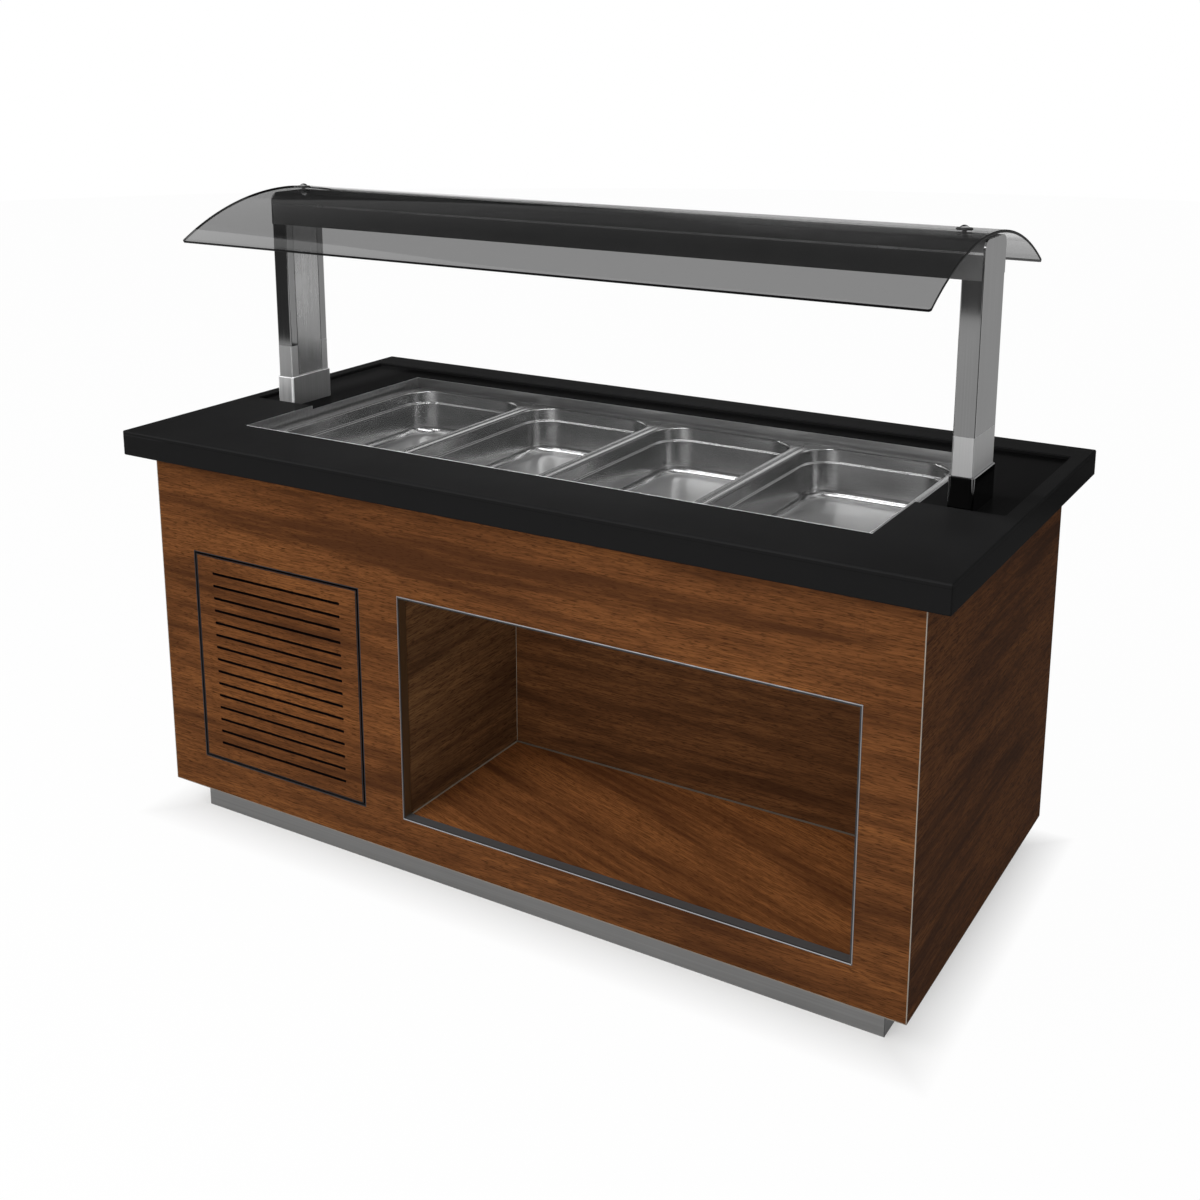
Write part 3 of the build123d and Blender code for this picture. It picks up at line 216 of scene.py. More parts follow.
class CounterStage(bpy.types.PropertyGroup):
    """Camera, floor and lamps."""

    lens: amount("Focal length in millimetres on a 36 mm sensor", 45.351)
    camera: FloatVectorProperty(
        description="Where the camera stands", default=(1.47627, -2.45539, 1.59166), size=3,
        subtype="TRANSLATION", unit="LENGTH",
    )
    camera_yaw: angle("Turn of the view to the left", degrees(0.542))
    camera_pitch: angle("Tilt of the view downwards", degrees(0.226))
    shift_x: amount("Sideways shift of the frame", 0.0027)
    shift_y: amount("Upward shift of the frame", -0.1761)
    floor: colour("Pale floor", 0.92, 0.92, 0.92)
    floor_radius: length("Radius of the floor", 14)
    shadow_reach: length("How far from the plinth the floor fades to white", 0.11)
    lift_near: amount("White in the floor at the plinth", 0.42)
    lift_far: amount("White in the floor beyond the shadow", 0.98)
    fill: amount("Strength of the even light from all round", 0.27)
    key: amount("Power of the high lamp before the front, in watts", 92.0)
    low: amount("Power of the low lamp before the right-hand corner, in watts", 84.0)
    strip: amount("Power of the light strip over the pans, in watts", 2.4)
    pans: amount("Power of each small lamp over a pan, in watts", 0.45)
    pan_lamp: length("Side of each small lamp over a pan", 0.06)
    lamp_drop: length("From the diffuser to the lamps under it", 0.004)


class Nodes:
    """A node tree, with short ways to add nodes to it and to join them."""

    def __init__(self, tree):
        self.tree = tree

    def feed(self, socket, source):
        """Join an output to a socket, or set the socket to a plain value."""
        if isinstance(source, bpy.types.NodeSocket):
            self.tree.links.new(source, socket)
        else:
            socket.default_value = source

    def node(self, kind, output, inputs=None, **settings):
        """Add a node with its settings and inputs, and give one of its outputs."""
        node = self.tree.nodes.new("ShaderNode" + kind)
        for key, value in settings.items():
            setattr(node, key, value)
        for key, source in (inputs or {}).items():
            self.feed(node.inputs[key], source)
        return node.outputs[output]

    def math(self, operation, a, b=0.0):
        """One sum on two values."""
        return self.node("Math", "Value", {0: a, 1: b}, operation=operation)

    def seen(self):
        """One for rays from the camera, a mirror or a clear sheet, nought for the rest."""
        rays = [self.node("LightPath", f"Is {kind} Ray") for kind in ("Camera", "Glossy", "Transmission")]
        return self.math("MAXIMUM", self.math("MAXIMUM", rays[0], rays[1]), rays[2])

    def show(self, output, factor, first, second):
        """Mix two shaders and send them to the tree's output."""
        lit = self.node("MixShader", "Shader", {0: factor, 1: first, 2: second})
        self.feed(self.tree.nodes[output].inputs["Surface"], lit)


class Finish(Nodes):
    """A material made of a principled shader, with short ways to vary it."""

    def __init__(self, name, tone, roughness, metallic=0.0, **sockets):
        self.material = bpy.data.materials.new(name)
        self.material.use_nodes = True
        super().__init__(self.material.node_tree)
        self.shader = self.tree.nodes["Principled BSDF"]
        self.give(Base_Color=(*tone, 1), Roughness=roughness, Metallic=metallic, **sockets)

    def give(self, **sources):
        """Join outputs to the shader's sockets, or set them to plain values."""
        for socket, source in sources.items():
            self.feed(self.shader.inputs[socket.replace("_", " ")], source)

    def place(self):
        """Object coordinates."""
        return self.node("TexCoord", "Object")

    def axis(self, letter):
        """One object coordinate by itself."""
        return self.node("SeparateXYZ", letter, {"Vector": self.place()})

    def noise(self, stretch, detail, roughness=0.55, distortion=0.0, location=(0, 0, 0), turn=0.0):
        """Noise between 0 and 1 in object coordinates, turned about Z, then stretched and moved.

        The stretch is one number, or one for each axis.
        """
        place = self.place()
        if turn:
            place = self.node("Mapping", "Vector", {"Vector": place, "Rotation": (0, 0, turn)})
        scale = stretch if isinstance(stretch, tuple) else (stretch,) * 3
        place = self.node("Mapping", "Vector", {"Vector": place, "Scale": scale, "Location": location})
        return self.node("TexNoise", "Fac", {
            "Vector": place, "Scale": 1.0, "Detail": detail, "Roughness": roughness,
            "Distortion": distortion,
        })

    def spread(self, value, low, high, to_low=0.0, to_high=1.0):
        """Stretch a value from one range to another, and hold it there."""
        return self.node("MapRange", "Result", {
            "Value": value, "From Min": low, "From Max": high, "To Min": to_low, "To Max": to_high
        })

    def vary(self, noise, low=0.0, high=1.0):
        """Stretch a noise from its usual range to another."""
        return self.spread(noise, *NOISE, low, high)

    def mix(self, factor, a, b, blend="MIX"):
        """Blend two colours."""
        a, b = [tone if isinstance(tone, bpy.types.NodeSocket) else (*tone, 1) for tone in (a, b)]
        return self.node("Mix", 2, {"Factor": factor, 6: a, 7: b}, data_type="RGBA", blend_type=blend)

    def mottle(self, noise, tone, low, high):
        """A tone made darker and lighter by a noise."""
        return self.mix(self.vary(noise), shade(tone, low), shade(tone, high))

    def between(self, letter, low, high):
        """One between two places along an axis, nought elsewhere."""
        return self.math("MULTIPLY", self.math("GREATER_THAN", self.axis(letter), low),
                         self.math("LESS_THAN", self.axis(letter), high))

    def banded(self, tone, bands):
        """A tone with bands over it, each an axis, two places along it and another tone."""
        for letter, low, high, other in bands:
            tone = self.mix(self.between(letter, low, high), tone, other)
        return tone

    def bump(self, height, strength, distance=0.0003):
        """Small relief from a height value."""
        self.give(Normal=self.node("Bump", "Normal", {
            "Height": height, "Strength": strength, "Distance": distance
        }))


def shade(tone, factor):
    """A colour made darker or lighter."""
    return tuple(min(1.0, channel * factor) for channel in tone)


def skin(letter, place, tone):
    """Band over a face that lies at one place along an axis."""
    return letter, place - SKIN, place + SKIN, tone


def walnut(name, along, tones, seed, bands=(), slant=0.0):
    """Laminate with walnut grain along X or Y or at a slant to it, and with bands."""
    light, middle, dark = tones
    made = Finish(name, middle, 0.6, Specular_IOR_Level=0.0, Coat_Weight=0.05, Coat_Roughness=0.4)

    def grain(run, across, detail, roughness, distortion=0.0):
        stretch = (run, across, across) if along == "X" else (across, run, across)
        moved = (seed, 2 * seed, 3 * seed)
        return made.noise(stretch, detail, roughness, distortion, location=moved, turn=slant)

    figure = grain(1.3, 11.0, detail=3, roughness=0.5, distortion=0.7)
    stripes = grain(3.5, 56.0, detail=5, roughness=0.65, distortion=0.4)
    fibres = grain(20.0, 380.0, detail=3, roughness=0.6)
    pores = grain(62.0, 620.0, detail=1, roughness=0.4)
    tone = made.math("ADD", made.math("MULTIPLY", figure, 0.5), made.math("MULTIPLY", stripes, 0.5))
    wood = made.mix(made.spread(tone, 0.38, 0.50), dark, middle)
    wood = made.mix(made.spread(tone, 0.50, 0.66), wood, light)
    wood = made.mix(made.spread(fibres, 0.36, 0.60, 0.75, 0.0), wood, shade(dark, 1.1))
    fleck = made.spread(pores, 0.34, 0.43, 0.7, 0.0)
    wood = made.mix(fleck, wood, shade(dark, 0.6))
    made.give(Base_Color=made.banded(wood, bands), Roughness=made.vary(fibres, 0.66, 0.54))
    made.bump(made.math("SUBTRACT", fibres, fleck), 0.10, 0.0005)
    return made.material


def metal(name, tone, roughness, grain=None, streak=0.10, smudge=0.06, relief=0.04, satin_foot=None,
          bands=(), **sockets):
    """Steel with faint smudges, brushed along a grain, satin below a height and with bands."""
    made = Finish(name, tone, roughness, metallic=1.0, **sockets)
    cloud = made.noise(7, detail=3)
    rough = made.vary(cloud, max(0.02, roughness - smudge), roughness + smudge)
    tint = made.banded(made.mottle(cloud, tone, 0.97, 1.03), bands)
    if grain:
        lines = made.noise(grain, detail=3, roughness=0.6)
        tint = made.mix(1.0, tint, made.vary(lines, 1 - streak, 1 + streak), "MULTIPLY")
        rough = made.math("ADD", rough, made.vary(lines, -streak / 3, streak / 3))
        made.bump(lines, relief)
    if satin_foot:
        foot = made.math("LESS_THAN", made.axis("Z"), satin_foot)
        rough = made.math("MAXIMUM", rough, made.math("MULTIPLY", foot, SATIN))
    made.give(Base_Color=tint, Roughness=rough)
    return made.material


def coated(name, tone, roughness, relief=0.05, **sockets):
    """Paint or moulded plastic with a fine even texture."""
    made = Finish(name, tone, roughness, **sockets)
    cloud = made.noise(9, detail=3)
    made.give(Base_Color=made.mottle(cloud, tone, 0.92, 1.08),
              Roughness=made.vary(cloud, roughness - 0.04, roughness + 0.04))
    made.bump(made.noise(900, detail=2), relief)
    return made.material


def middle(low, high, **other):
    """Middle of a box, with some of its coordinates set otherwise."""
    point = (low + high) / 2
    for letter, value in other.items():
        setattr(point, letter, value)
    return point


def dress(material, *names):
    """Give CAD nodes a finish."""
    for name in names:
        node = frame["nodes"][name]
        node.data.materials.clear()
        node.data.materials.append(material)


def clear_selection():
    """Go to object mode with nothing selected."""
    if bpy.context.mode != "OBJECT":
        bpy.ops.object.mode_set(mode="OBJECT")
    bpy.ops.object.select_all(action="DESELECT")


def activate(*pieces):
    """Go to object mode with these pieces selected and the first one active."""
    clear_selection()
    for piece in pieces:
        piece.select_set(True)
    bpy.context.view_layer.objects.active = pieces[0]


def rename(piece, name):
    """Name a piece and its mesh."""
    piece.name = name
    piece.data.name = name


def pick(kind, test):
    """Select the verts, edges or faces of the mesh being edited whose points pass a test."""
    bpy.ops.mesh.select_mode(type={"verts": "VERT", "edges": "EDGE", "faces": "FACE"}[kind])
    bpy.ops.mesh.select_all(action="DESELECT")
    mesh = bpy.context.edit_object.data
    shape = bmesh.from_edit_mesh(mesh)
    found = 0
    for element in getattr(shape, kind):
        points = [element.co] if kind == "verts" else [vert.co for vert in element.verts]
        if test(points):
            element.select_set(True)
            found += 1
    shape.select_flush_mode()
    bmesh.update_edit_mesh(mesh)
    if not found:
        raise RuntimeError(f"nothing to select among the {kind} of {bpy.context.edit_object.name}")


def at_height(z):
    """Test for points that all lie at one height."""
    return lambda points: all(abs(point.z - z) < NEAR for point in points)


def begin(name, empty=True):
    """Start a piece and edit it, empty or from a unit plane."""
    clear_selection()
    bpy.ops.mesh.primitive_plane_add(size=1, location=(0, 0, 0))
    piece = bpy.context.active_object
    rename(piece, name)
    bpy.ops.object.mode_set(mode="EDIT")
    if empty:
        bpy.ops.mesh.delete(type="VERT")
    return piece


def extrude(move):
    """Draw out what is selected of the mesh being edited."""
    bpy.ops.mesh.extrude_region_move(TRANSFORM_OT_translate={"value": move})


def round_edges(test, radius, segments):
    """Round the edges of the mesh being edited that pass a test."""
    pick("edges", test)
    bpy.ops.mesh.bevel(offset=radius, segments=segments, affect="EDGES")


def face_out():
    """Join the points of the mesh being edited that meet, and turn its faces outwards."""
    bpy.ops.mesh.select_all(action="SELECT")
    bpy.ops.mesh.remove_doubles(threshold=JOIN)
    bpy.ops.mesh.normals_make_consistent(inside=False)


def face_up(sheet):
    """Turn the faces of an open sheet so that its highest one looks up, and leave edit mode."""
    face_out()
    faces = bmesh.from_edit_mesh(sheet.data).faces
    if max(faces, key=lambda face: face.calc_center_median().z).normal.z < 0:
        bpy.ops.mesh.flip_normals()
    bpy.ops.object.mode_set(mode="OBJECT")


def smooth(piece, limit=35):
    """Leave edit mode and shade the piece smooth but for edges sharper than a limit in degrees."""
    activate(piece)
    bpy.ops.object.shade_smooth_by_angle(angle=radians(limit))


def settle(piece, body, slot, *materials, stands_for=()):
    """Give a finished piece its materials and body, and hide the nodes that it stands for; the slot is not
    used.
    """
    for material in materials:
        piece.data.materials.append(material)
    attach(piece, body)
    if stands_for:
        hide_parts(*stands_for)


def copy_piece(piece, name, move):
    """Copy a piece with a mesh of its own, moved to its place."""
    twin = piece.copy()
    twin.data = piece.data.copy()
    rename(twin, name)
    twin.data.transform(Matrix.Translation(move))
    bpy.context.scene.collection.objects.link(twin)
    return twin


def row(piece, stem, moves):
    """A piece with its copies, numbered from two."""
    return [piece] + [copy_piece(piece, f"{stem}_{number}", move) for number, move in enumerate(moves, 2)]


def apply_modifier(piece, kind, **settings):
    """Add a modifier, set it and apply it."""
    activate(piece)
    modifier = piece.modifiers.new(kind.title(), kind)
    for key, value in settings.items():
        setattr(modifier, key, value)
    bpy.ops.object.modifier_apply(modifier=modifier.name)


def round_rectangle(width, depth, radius, centre):
    """Add a flat outline with round corners to the mesh being edited, without its face."""
    bpy.ops.mesh.select_all(action="DESELECT")
    bpy.ops.mesh.primitive_plane_add(size=1, location=centre)
    bpy.ops.transform.resize(value=(width, depth, 1), center_override=centre)
    bpy.ops.mesh.bevel(offset=radius, segments=10, affect="VERTICES")
    bpy.ops.mesh.delete(type="ONLY_FACE")


def turned_piece(name, centre, along, profile, steps=48):
    """Spin a profile of (radius, height) pairs round an axis through a base point."""
    piece = begin(name, empty=False)
    pick("verts", lambda points: points[0].x > 0 or points[0].y > 0)
    bpy.ops.mesh.delete(type="VERT")
    bpy.ops.mesh.select_all(action="SELECT")
    points = [centre + Vector((radius, 0, 0)) + along * height for radius, height in profile]
    bpy.ops.transform.translate(value=points[0] - Vector((-0.5, -0.5, 0)))
    for before, after in zip(points, points[1:]):
        bpy.ops.mesh.extrude_vertices_move(TRANSFORM_OT_translate={"value": after - before})
    bpy.ops.mesh.select_all(action="SELECT")
    bpy.ops.mesh.spin(steps=steps, angle=2 * pi, center=centre, axis=along)
    face_out()
    return piece


def printed(name, bars):
    """A piece made of thin blocks, each drawn from a corner along its three edges."""
    piece = begin(name)
    for centre, across, along, rise in bars:
        bpy.ops.mesh.select_mode(type="VERT")
        bpy.ops.mesh.select_all(action="DESELECT")
        bpy.ops.mesh.primitive_plane_add(size=0.001, location=centre - across / 2 - along / 2)
        bpy.ops.mesh.merge(type="CENTER")
        for edge in (across, along, rise):
            bpy.ops.mesh.select_linked()
            extrude(edge)
    face_out()
    clear_selection()
    return piece


def arc(centre, radius, start, end, steps):
    """Points of a profile's arc, with the angles in degrees from the radial direction."""
    turns = [radians(start + (end - start) * step / steps) for step in range(steps + 1)]
    return [(centre[0] + radius * cos(turn), centre[1] + radius * sin(turn)) for turn in turns]


class Step:
    """What the steps of the build share: each gets the scene's sizes and colours."""

    def execute(self, context):
        self.build(context.scene.counter_sizes, context.scene.counter_colours)
        return {"FINISHED"}


def dress_niche(joint, edging, tones):
    """Boards of the niche, one laminate whose tones are painted lighter or darker board by board for the
    light that falls into the niche, and with lines where each meets the next.
    """
    left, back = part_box("niche_left_wall")[1].x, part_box("niche_back")[0].y
    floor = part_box("niche_floor")[1].z
    for name, along, slant, light_factors, seed, bands, nodes in (
        ("walnut_niche_floor", "X", 18, (2.3, 2.3, 2.3), 13.0, [
            ("X", left, left + 3 * joint, shade(edging, 1.8)),
            ("Y", back - 4 * joint, back, shade(edging, 0.8)),
        ], ["niche_floor"]),
        ("walnut_niche_back", "X", 0, (0.88, 0.95, 1.06), 13.0, [
            ("X", left, left + joint, edging),
            ("Z", floor, floor + joint, shade(edging, 0.4)),
        ], ["niche_back", "niche_ceiling"]),
        ("walnut_niche_ends", "Y", 0, (1.65, 2.2, 2.95), 17.0, [
            ("Z", floor, floor + joint, edging),
        ], ["niche_left_wall", "niche_right_wall"]),
    ):
        # Painted light: each board's tones are scaled by its light factors, brighter on the floor and ends,
        # a little darker on the back
        lit_tones = [tuple(part * factor for part, factor in zip(tone, light_factors)) for tone in tones]
        dress(walnut(name, along, lit_tones, seed, bands, radians(slant)), *nodes)


class COUNTER_OT_woodwork(Step, bpy.types.Operator):
    """Walnut laminate on the carcass and the niche, with pale edges, painted light on the niche's boards
    and painted shade in the vent's slots
    """

    bl_idname = "counter.woodwork"
    bl_label = "Woodwork"

    def build(self, sizes, colours):
        tones = (colours.wood_light, colours.wood_mid, colours.wood_dark)
        foot = ("Z", 0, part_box("front_panel")[0].z + sizes.board_edge, colours.edging)
        for name, along, seed, nodes in (
            ("walnut_front", "X", 0.0, ["front_panel", "rear_panel"]),
            ("walnut_left_end", "Y", 5.0, ["side_panel_left"]),
            ("walnut_right_end", "Y", 9.0, ["side_panel_right"]),
        ):
            dress(walnut(name, along, tones, seed, [foot]), *nodes)
        low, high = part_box("vent_panel")
        border = (
            ("X", low.x, low.x + sizes.vent_side_line), ("X", high.x - sizes.vent_side_line, high.x),
            ("Z", low.z, low.z + sizes.vent_end_line), ("Z", high.z - sizes.vent_end_line, high.z),
        )
        bands = [(*line, colours.vent_black) for line in border]
        # Painted shade: the slot walls and edges behind the panel's face are painted near-black
        bands.append(("Y", low.y + sizes.vent_face, high.y, shade(colours.vent_black, 0.25)))
        dress(walnut("walnut_vent", "X", tones, 0.0, bands), "vent_panel")
        dress_niche(sizes.board_joint, colours.edging, tones)
        dress(coated("pale_edging", colours.edging, 0.5), "corner_strips")
        timber = shade(colours.timber, 1.25), colours.timber, shade(colours.timber, 0.6)
        dress(walnut("plain_timber", "X", timber, 21.0), "carcass_frame", "base_panel")


class COUNTER_OT_counter_top(Step, bpy.types.Operator):
    """Satin black counter top, with a painted shade on its edges and in its recess, where it is also
    glossier, and the lining of its opening with a painted highlight along its front
    """

    bl_idname = "counter.counter_top"
    bl_label = "Counter top"

    def build(self, sizes, colours):
        low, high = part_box("post_collar_left")
        slab = Finish("counter_black", colours.slab, 0.34, Specular_IOR_Level=0.0, Coat_Weight=0.04,
                      Coat_Roughness=0.25)
        cloud = slab.noise(4, detail=5)
        # Painted shade: below its top face, the slab's front, sides and recess walls are painted darker
        shaded_edge = slab.math("LESS_THAN", slab.axis("Z"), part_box("counter_top")[1].z - sizes.top_face)
        top = slab.mix(shaded_edge, slab.mottle(cloud, colours.slab, 0.9, 1.1), shade(colours.slab, 0.55))
        in_recess = slab.between("Z", low.z - SKIN, low.z + SKIN)
        # Painted shade: the recess floor is painted from the slab's tone to the darker recess tone across
        # the left collar
        recess = slab.mix(slab.spread(slab.axis("X"), low.x, high.x), colours.slab, colours.recess)
        gloss = slab.math("MULTIPLY", in_recess, 0.12)
        slab.give(Base_Color=slab.mix(in_recess, top, recess),
                  Roughness=slab.math("SUBTRACT", slab.vary(cloud, 0.30, 0.38), gloss))
        slab.bump(slab.noise(1400, detail=2), 0.03, 0.0002)
        dress(slab.material, "counter_top")
        low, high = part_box("well_edge_strip")
        lining = Finish("edge_strip", colours.well, 0.28, metallic=1.0)
        steel = lining.mottle(lining.noise((3, 160, 160), detail=3), colours.well, 0.75, 0.95)
        # Painted highlight: a white, non-metallic line along the strip's front edge
        painted_highlight = lining.math("MULTIPLY", lining.between("Y", low.y - PAST, low.y + sizes.lining_width),
                             lining.between("Z", high.z - sizes.lining_height, high.z + PAST))
        lining.give(Base_Color=lining.mix(painted_highlight, steel, colours.lining),
                    Metallic=lining.math("SUBTRACT", 1.0, painted_highlight))
        dress(lining.material, "well_edge_strip")


def dress_trim(sizes, colours):
    """Steel face in two halves round the niche mouth, with a painted shade on the inner half and a painted
    highlight along the foot, and with legs that run into the niche: the sill plain grey, the others painted
    in the tone that the niche's walls show in shade.
    """
    low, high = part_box("niche_trim")
    half = sizes.trim_half
    trim = Finish("trim_steel", colours.trim, 0.32, metallic=1.0)
    leg = trim.between("Y", low.y + sizes.trim_sheet, high.y + PAST)
    sill = trim.between("Z", low.z - PAST, low.z + sizes.trim_sill)
    inner_shade = trim.math("MULTIPLY", trim.between("X", low.x + half, high.x - half),
                      trim.between("Z", low.z + half, high.z - half))
    foot = trim.between("Z", low.z - half, low.z + 2 * half)
    face = trim.mottle(trim.noise(40, detail=3), colours.trim, 0.9, 1.1)
    # Painted shade on the inner half of the face
    face = trim.mix(inner_shade, face, shade(colours.trim, 0.2))
    # Painted highlight along the outer edge of the foot, with a painted shade above it
    face = trim.mix(foot, face, trim.mix(inner_shade, shade(colours.trim, 0.45), shade(colours.trim, 1.8)))
    # The legs are painted in the wood tone that the niche's walls show in shade, and the sill in plain grey
    trim.give(Base_Color=trim.mix(leg, face, trim.mix(sill, colours.leg, colours.sill)),
              Metallic=trim.math("SUBTRACT", 1.0, leg))
    dress(trim.material, "niche_trim")


def dress_posts(sizes, tone):
    """Polished posts with brushed covers, and collars of one steel painted as lit and shaded copies: a
    satin collar on the left painted lighter, with a painted shade on its inner face, and a polished one on
    the right painted dark.
    """
    upright = (300, 300, 2)
    polish = {"grain": upright, "streak": 0.04, "smudge": 0.015, "relief": 0.008}
    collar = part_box("post_collar_left")[1]
    shaded_inner_face = skin("X", collar.x, shade(tone, 0.5))
    dress(metal("post_steel", tone, 0.06, satin_foot=collar.z + sizes.post_foot, **polish),
          "post_left", "post_right")
    dress(metal("cover_steel", shade(tone, 1.15), 0.26, upright, streak=0.06, smudge=0.04),
          "post_cover_left", "post_cover_right")
    # Painted light: the left collar's steel is painted lighter, with a painted shade on its inner face
    dress(metal("collar_satin", shade(tone, 1.8), 0.50, upright, bands=[shaded_inner_face]), "post_collar_left")
    # Painted shade: the right collar's steel is painted dark
    dress(metal("collar_polish", shade(tone, 0.3), 0.05, **polish), "post_collar_right")


class COUNTER_OT_metalwork(Step, bpy.types.Operator):
    """Steel, black coatings and the light of the stand, the plinth, the niche trim and the vent"""

    bl_idname = "counter.metalwork"
    bl_label = "Metalwork"

    def build(self, sizes, colours):
        # Painted shade on the plinth's right-hand end
        shaded_right_end = skin("X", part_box("plinth")[1].x, shade(colours.plinth, 0.24))
        dress(metal("plinth_steel", colours.plinth, 0.38, (2, 2, 300), bands=[shaded_right_end]), "plinth")
        dress_trim(sizes, colours)
        dress(metal("plated_steel", colours.plated, 0.3), "vent_catches", "post_nuts", "post_feet")
        dress_posts(sizes, colours.post)
        dress(metal("bead_bright", colours.bead, 0.25), "beam_beads")
        dress(coated("vent_black", colours.vent_black, 0.45, Specular_IOR_Level=0.15), "vent_surround")
        beam = coated("beam_black", colours.beam, 0.36, Specular_IOR_Level=0.06)
        dress(beam, "beam_housing", "beam_cover")
        dress(coated("light_board", colours.board, 0.4), "light_strip")
        dress(coated("diffuser_opal", colours.opal, 0.45, relief=0.02), "diffuser")


class COUNTER_OT_well_fittings(Step, bpy.types.Operator):
    """Steel well with its heater, lagging, drain and supply fittings"""

    bl_idname = "counter.well_fittings"
    bl_label = "Well and fittings"

    def build(self, sizes, colours):
        steel = metal("well_steel", colours.well, 0.26, (3, 160, 160))
        dress(steel, "well_flange", "well_tank", "tank_floor", "pan_bars")
        dress(metal("element_steel", colours.element, 0.42), "heating_element")
        lagging = Finish("jacket_wool", colours.wool, 0.9)
        tufts = lagging.noise(60, detail=6, roughness=0.7)
        lagging.give(Base_Color=lagging.mix(tufts, colours.wool_dark, colours.wool_light))
        lagging.bump(tufts, 0.6, 0.004)
        dress(lagging.material, "tank_jacket")
        dress(metal("valve_brass", colours.brass, 0.3), "drain_fitting", "drain_valve")
        for name, tone, roughness, nodes in (
            ("lever_red", colours.lever, 0.35, ["drain_lever"]),
            ("pipe_grey", colours.pipe, 0.4, ["drain_pipe"]),
            ("box_grey", colours.box, 0.5, ["terminal_box", "thermostat"]),
            ("gland_black", colours.gland, 0.5, ["cable_gland"]),
        ):
            dress(coated(name, tone, roughness), *nodes)


def draw_pan(name, sizes, low, high):
    """Upper side of the pan, drawn down from its rim step by step."""
    centre = middle(low, high, z=high.z)
    width, depth = high.x - low.x, high.y - low.y
    inset = sizes.pan_rim + sizes.pan_sheet
    mouth = (width - 2 * inset, depth - 2 * inset)
    shoulder = high.z - sizes.pan_shoulder_drop + sizes.pan_sheet
    shoulder_foot = shoulder - sizes.pan_shoulder_fall
    floor = low.z + sizes.pan_sheet
    pan = begin(name)
    round_rectangle(width, depth, sizes.pan_rim_corner, centre)
    round_rectangle(*mouth, sizes.pan_corner - sizes.pan_sheet, centre)
    bpy.ops.mesh.select_all(action="SELECT")
    bpy.ops.mesh.bridge_edge_loops()
    on_top = at_height(high.z)

    def off_mouth(point):
        past = (abs(point.x - centre.x) - mouth[0] / 2, abs(point.y - centre.y) - mouth[1] / 2)
        return max(past) > 10 * NEAR

    def rim_edge(points):
        return on_top(points) and all(off_mouth(point) for point in points)

    def mouth_edge(points):
        return on_top(points) and not any(off_mouth(point) for point in points)

    pick("edges", rim_edge)
    extrude((0, 0, -sizes.pan_lip))
    pick("edges", mouth_edge)
    size = mouth
    for drop, narrow in (
        (high.z - shoulder, 0),
        (sizes.pan_shoulder_fall, sizes.pan_shoulder_step),
        (shoulder_foot - floor, (shoulder - floor) * tan(sizes.pan_draft)),
    ):
        extrude((0, 0, -drop))
        tighter = tuple(side - 2 * narrow for side in size)
        ratio = [new / old for new, old in zip(tighter, size)]
        bpy.ops.transform.resize(value=(*ratio, 1), center_override=centre)
        size = tighter
    bpy.ops.mesh.edge_face_add()
    for test, radius, segments in (
        (at_height(floor), sizes.pan_floor_radius, 8),
        (at_height(shoulder_foot), sizes.pan_shoulder_roll, 3),
        (at_height(shoulder), sizes.pan_shoulder_roll, 3),
        (mouth_edge, sizes.pan_mouth_roll, 5),
        (rim_edge, sizes.pan_rim_roll, 5),
    ):
        round_edges(test, radius, segments)
    face_up(pan)
    return pan


class COUNTER_OT_food_pans(Step, bpy.types.Operator):
    """Deep-drawn food pans: rolled rim, stacking shoulder, sloping walls and a round floor edge"""

    bl_idname = "counter.food_pans"
    bl_label = "Food pans"

    def build(self, sizes, colours):
        low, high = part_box(pan_nodes[0])
        pan = draw_pan("food_pan_1", sizes, low, high)
        apply_modifier(pan, "SOLIDIFY", thickness=sizes.pan_sheet, offset=-1)
        smooth(pan, 40)
        satin_foot = low.z + sizes.pan_sheet + sizes.pan_satin
        steel = metal("pan_steel", colours.pan, 0.22, smudge=0.02,
                      satin_foot=satin_foot, Coat_Weight=0.5, Coat_Roughness=0.1)
        pans = row(pan, "food_pan", [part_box(node)[0] - low for node in pan_nodes[1:]])
        for number, (piece, node) in enumerate(zip(pans, pan_nodes), 1):
            settle(piece, f"pan_{number}", "pan_steel", steel, stands_for=[node])


def canopy_finishes(colours):
    """Clear smoked face and darker polished edge."""
    face = Finish("canopy_smoke", colours.smoke, 0.03, Alpha=0.515, Specular_IOR_Level=0.4)
    face.give(Roughness=face.vary(face.noise(3, detail=2), 0.02, 0.05))
    edge = Finish("canopy_edge", shade(colours.smoke, 0.2), 0.3, Specular_IOR_Level=0.05)
    edge.bump(edge.noise(300, detail=2), 0.05, 0.0002)
    return face.material, edge.material


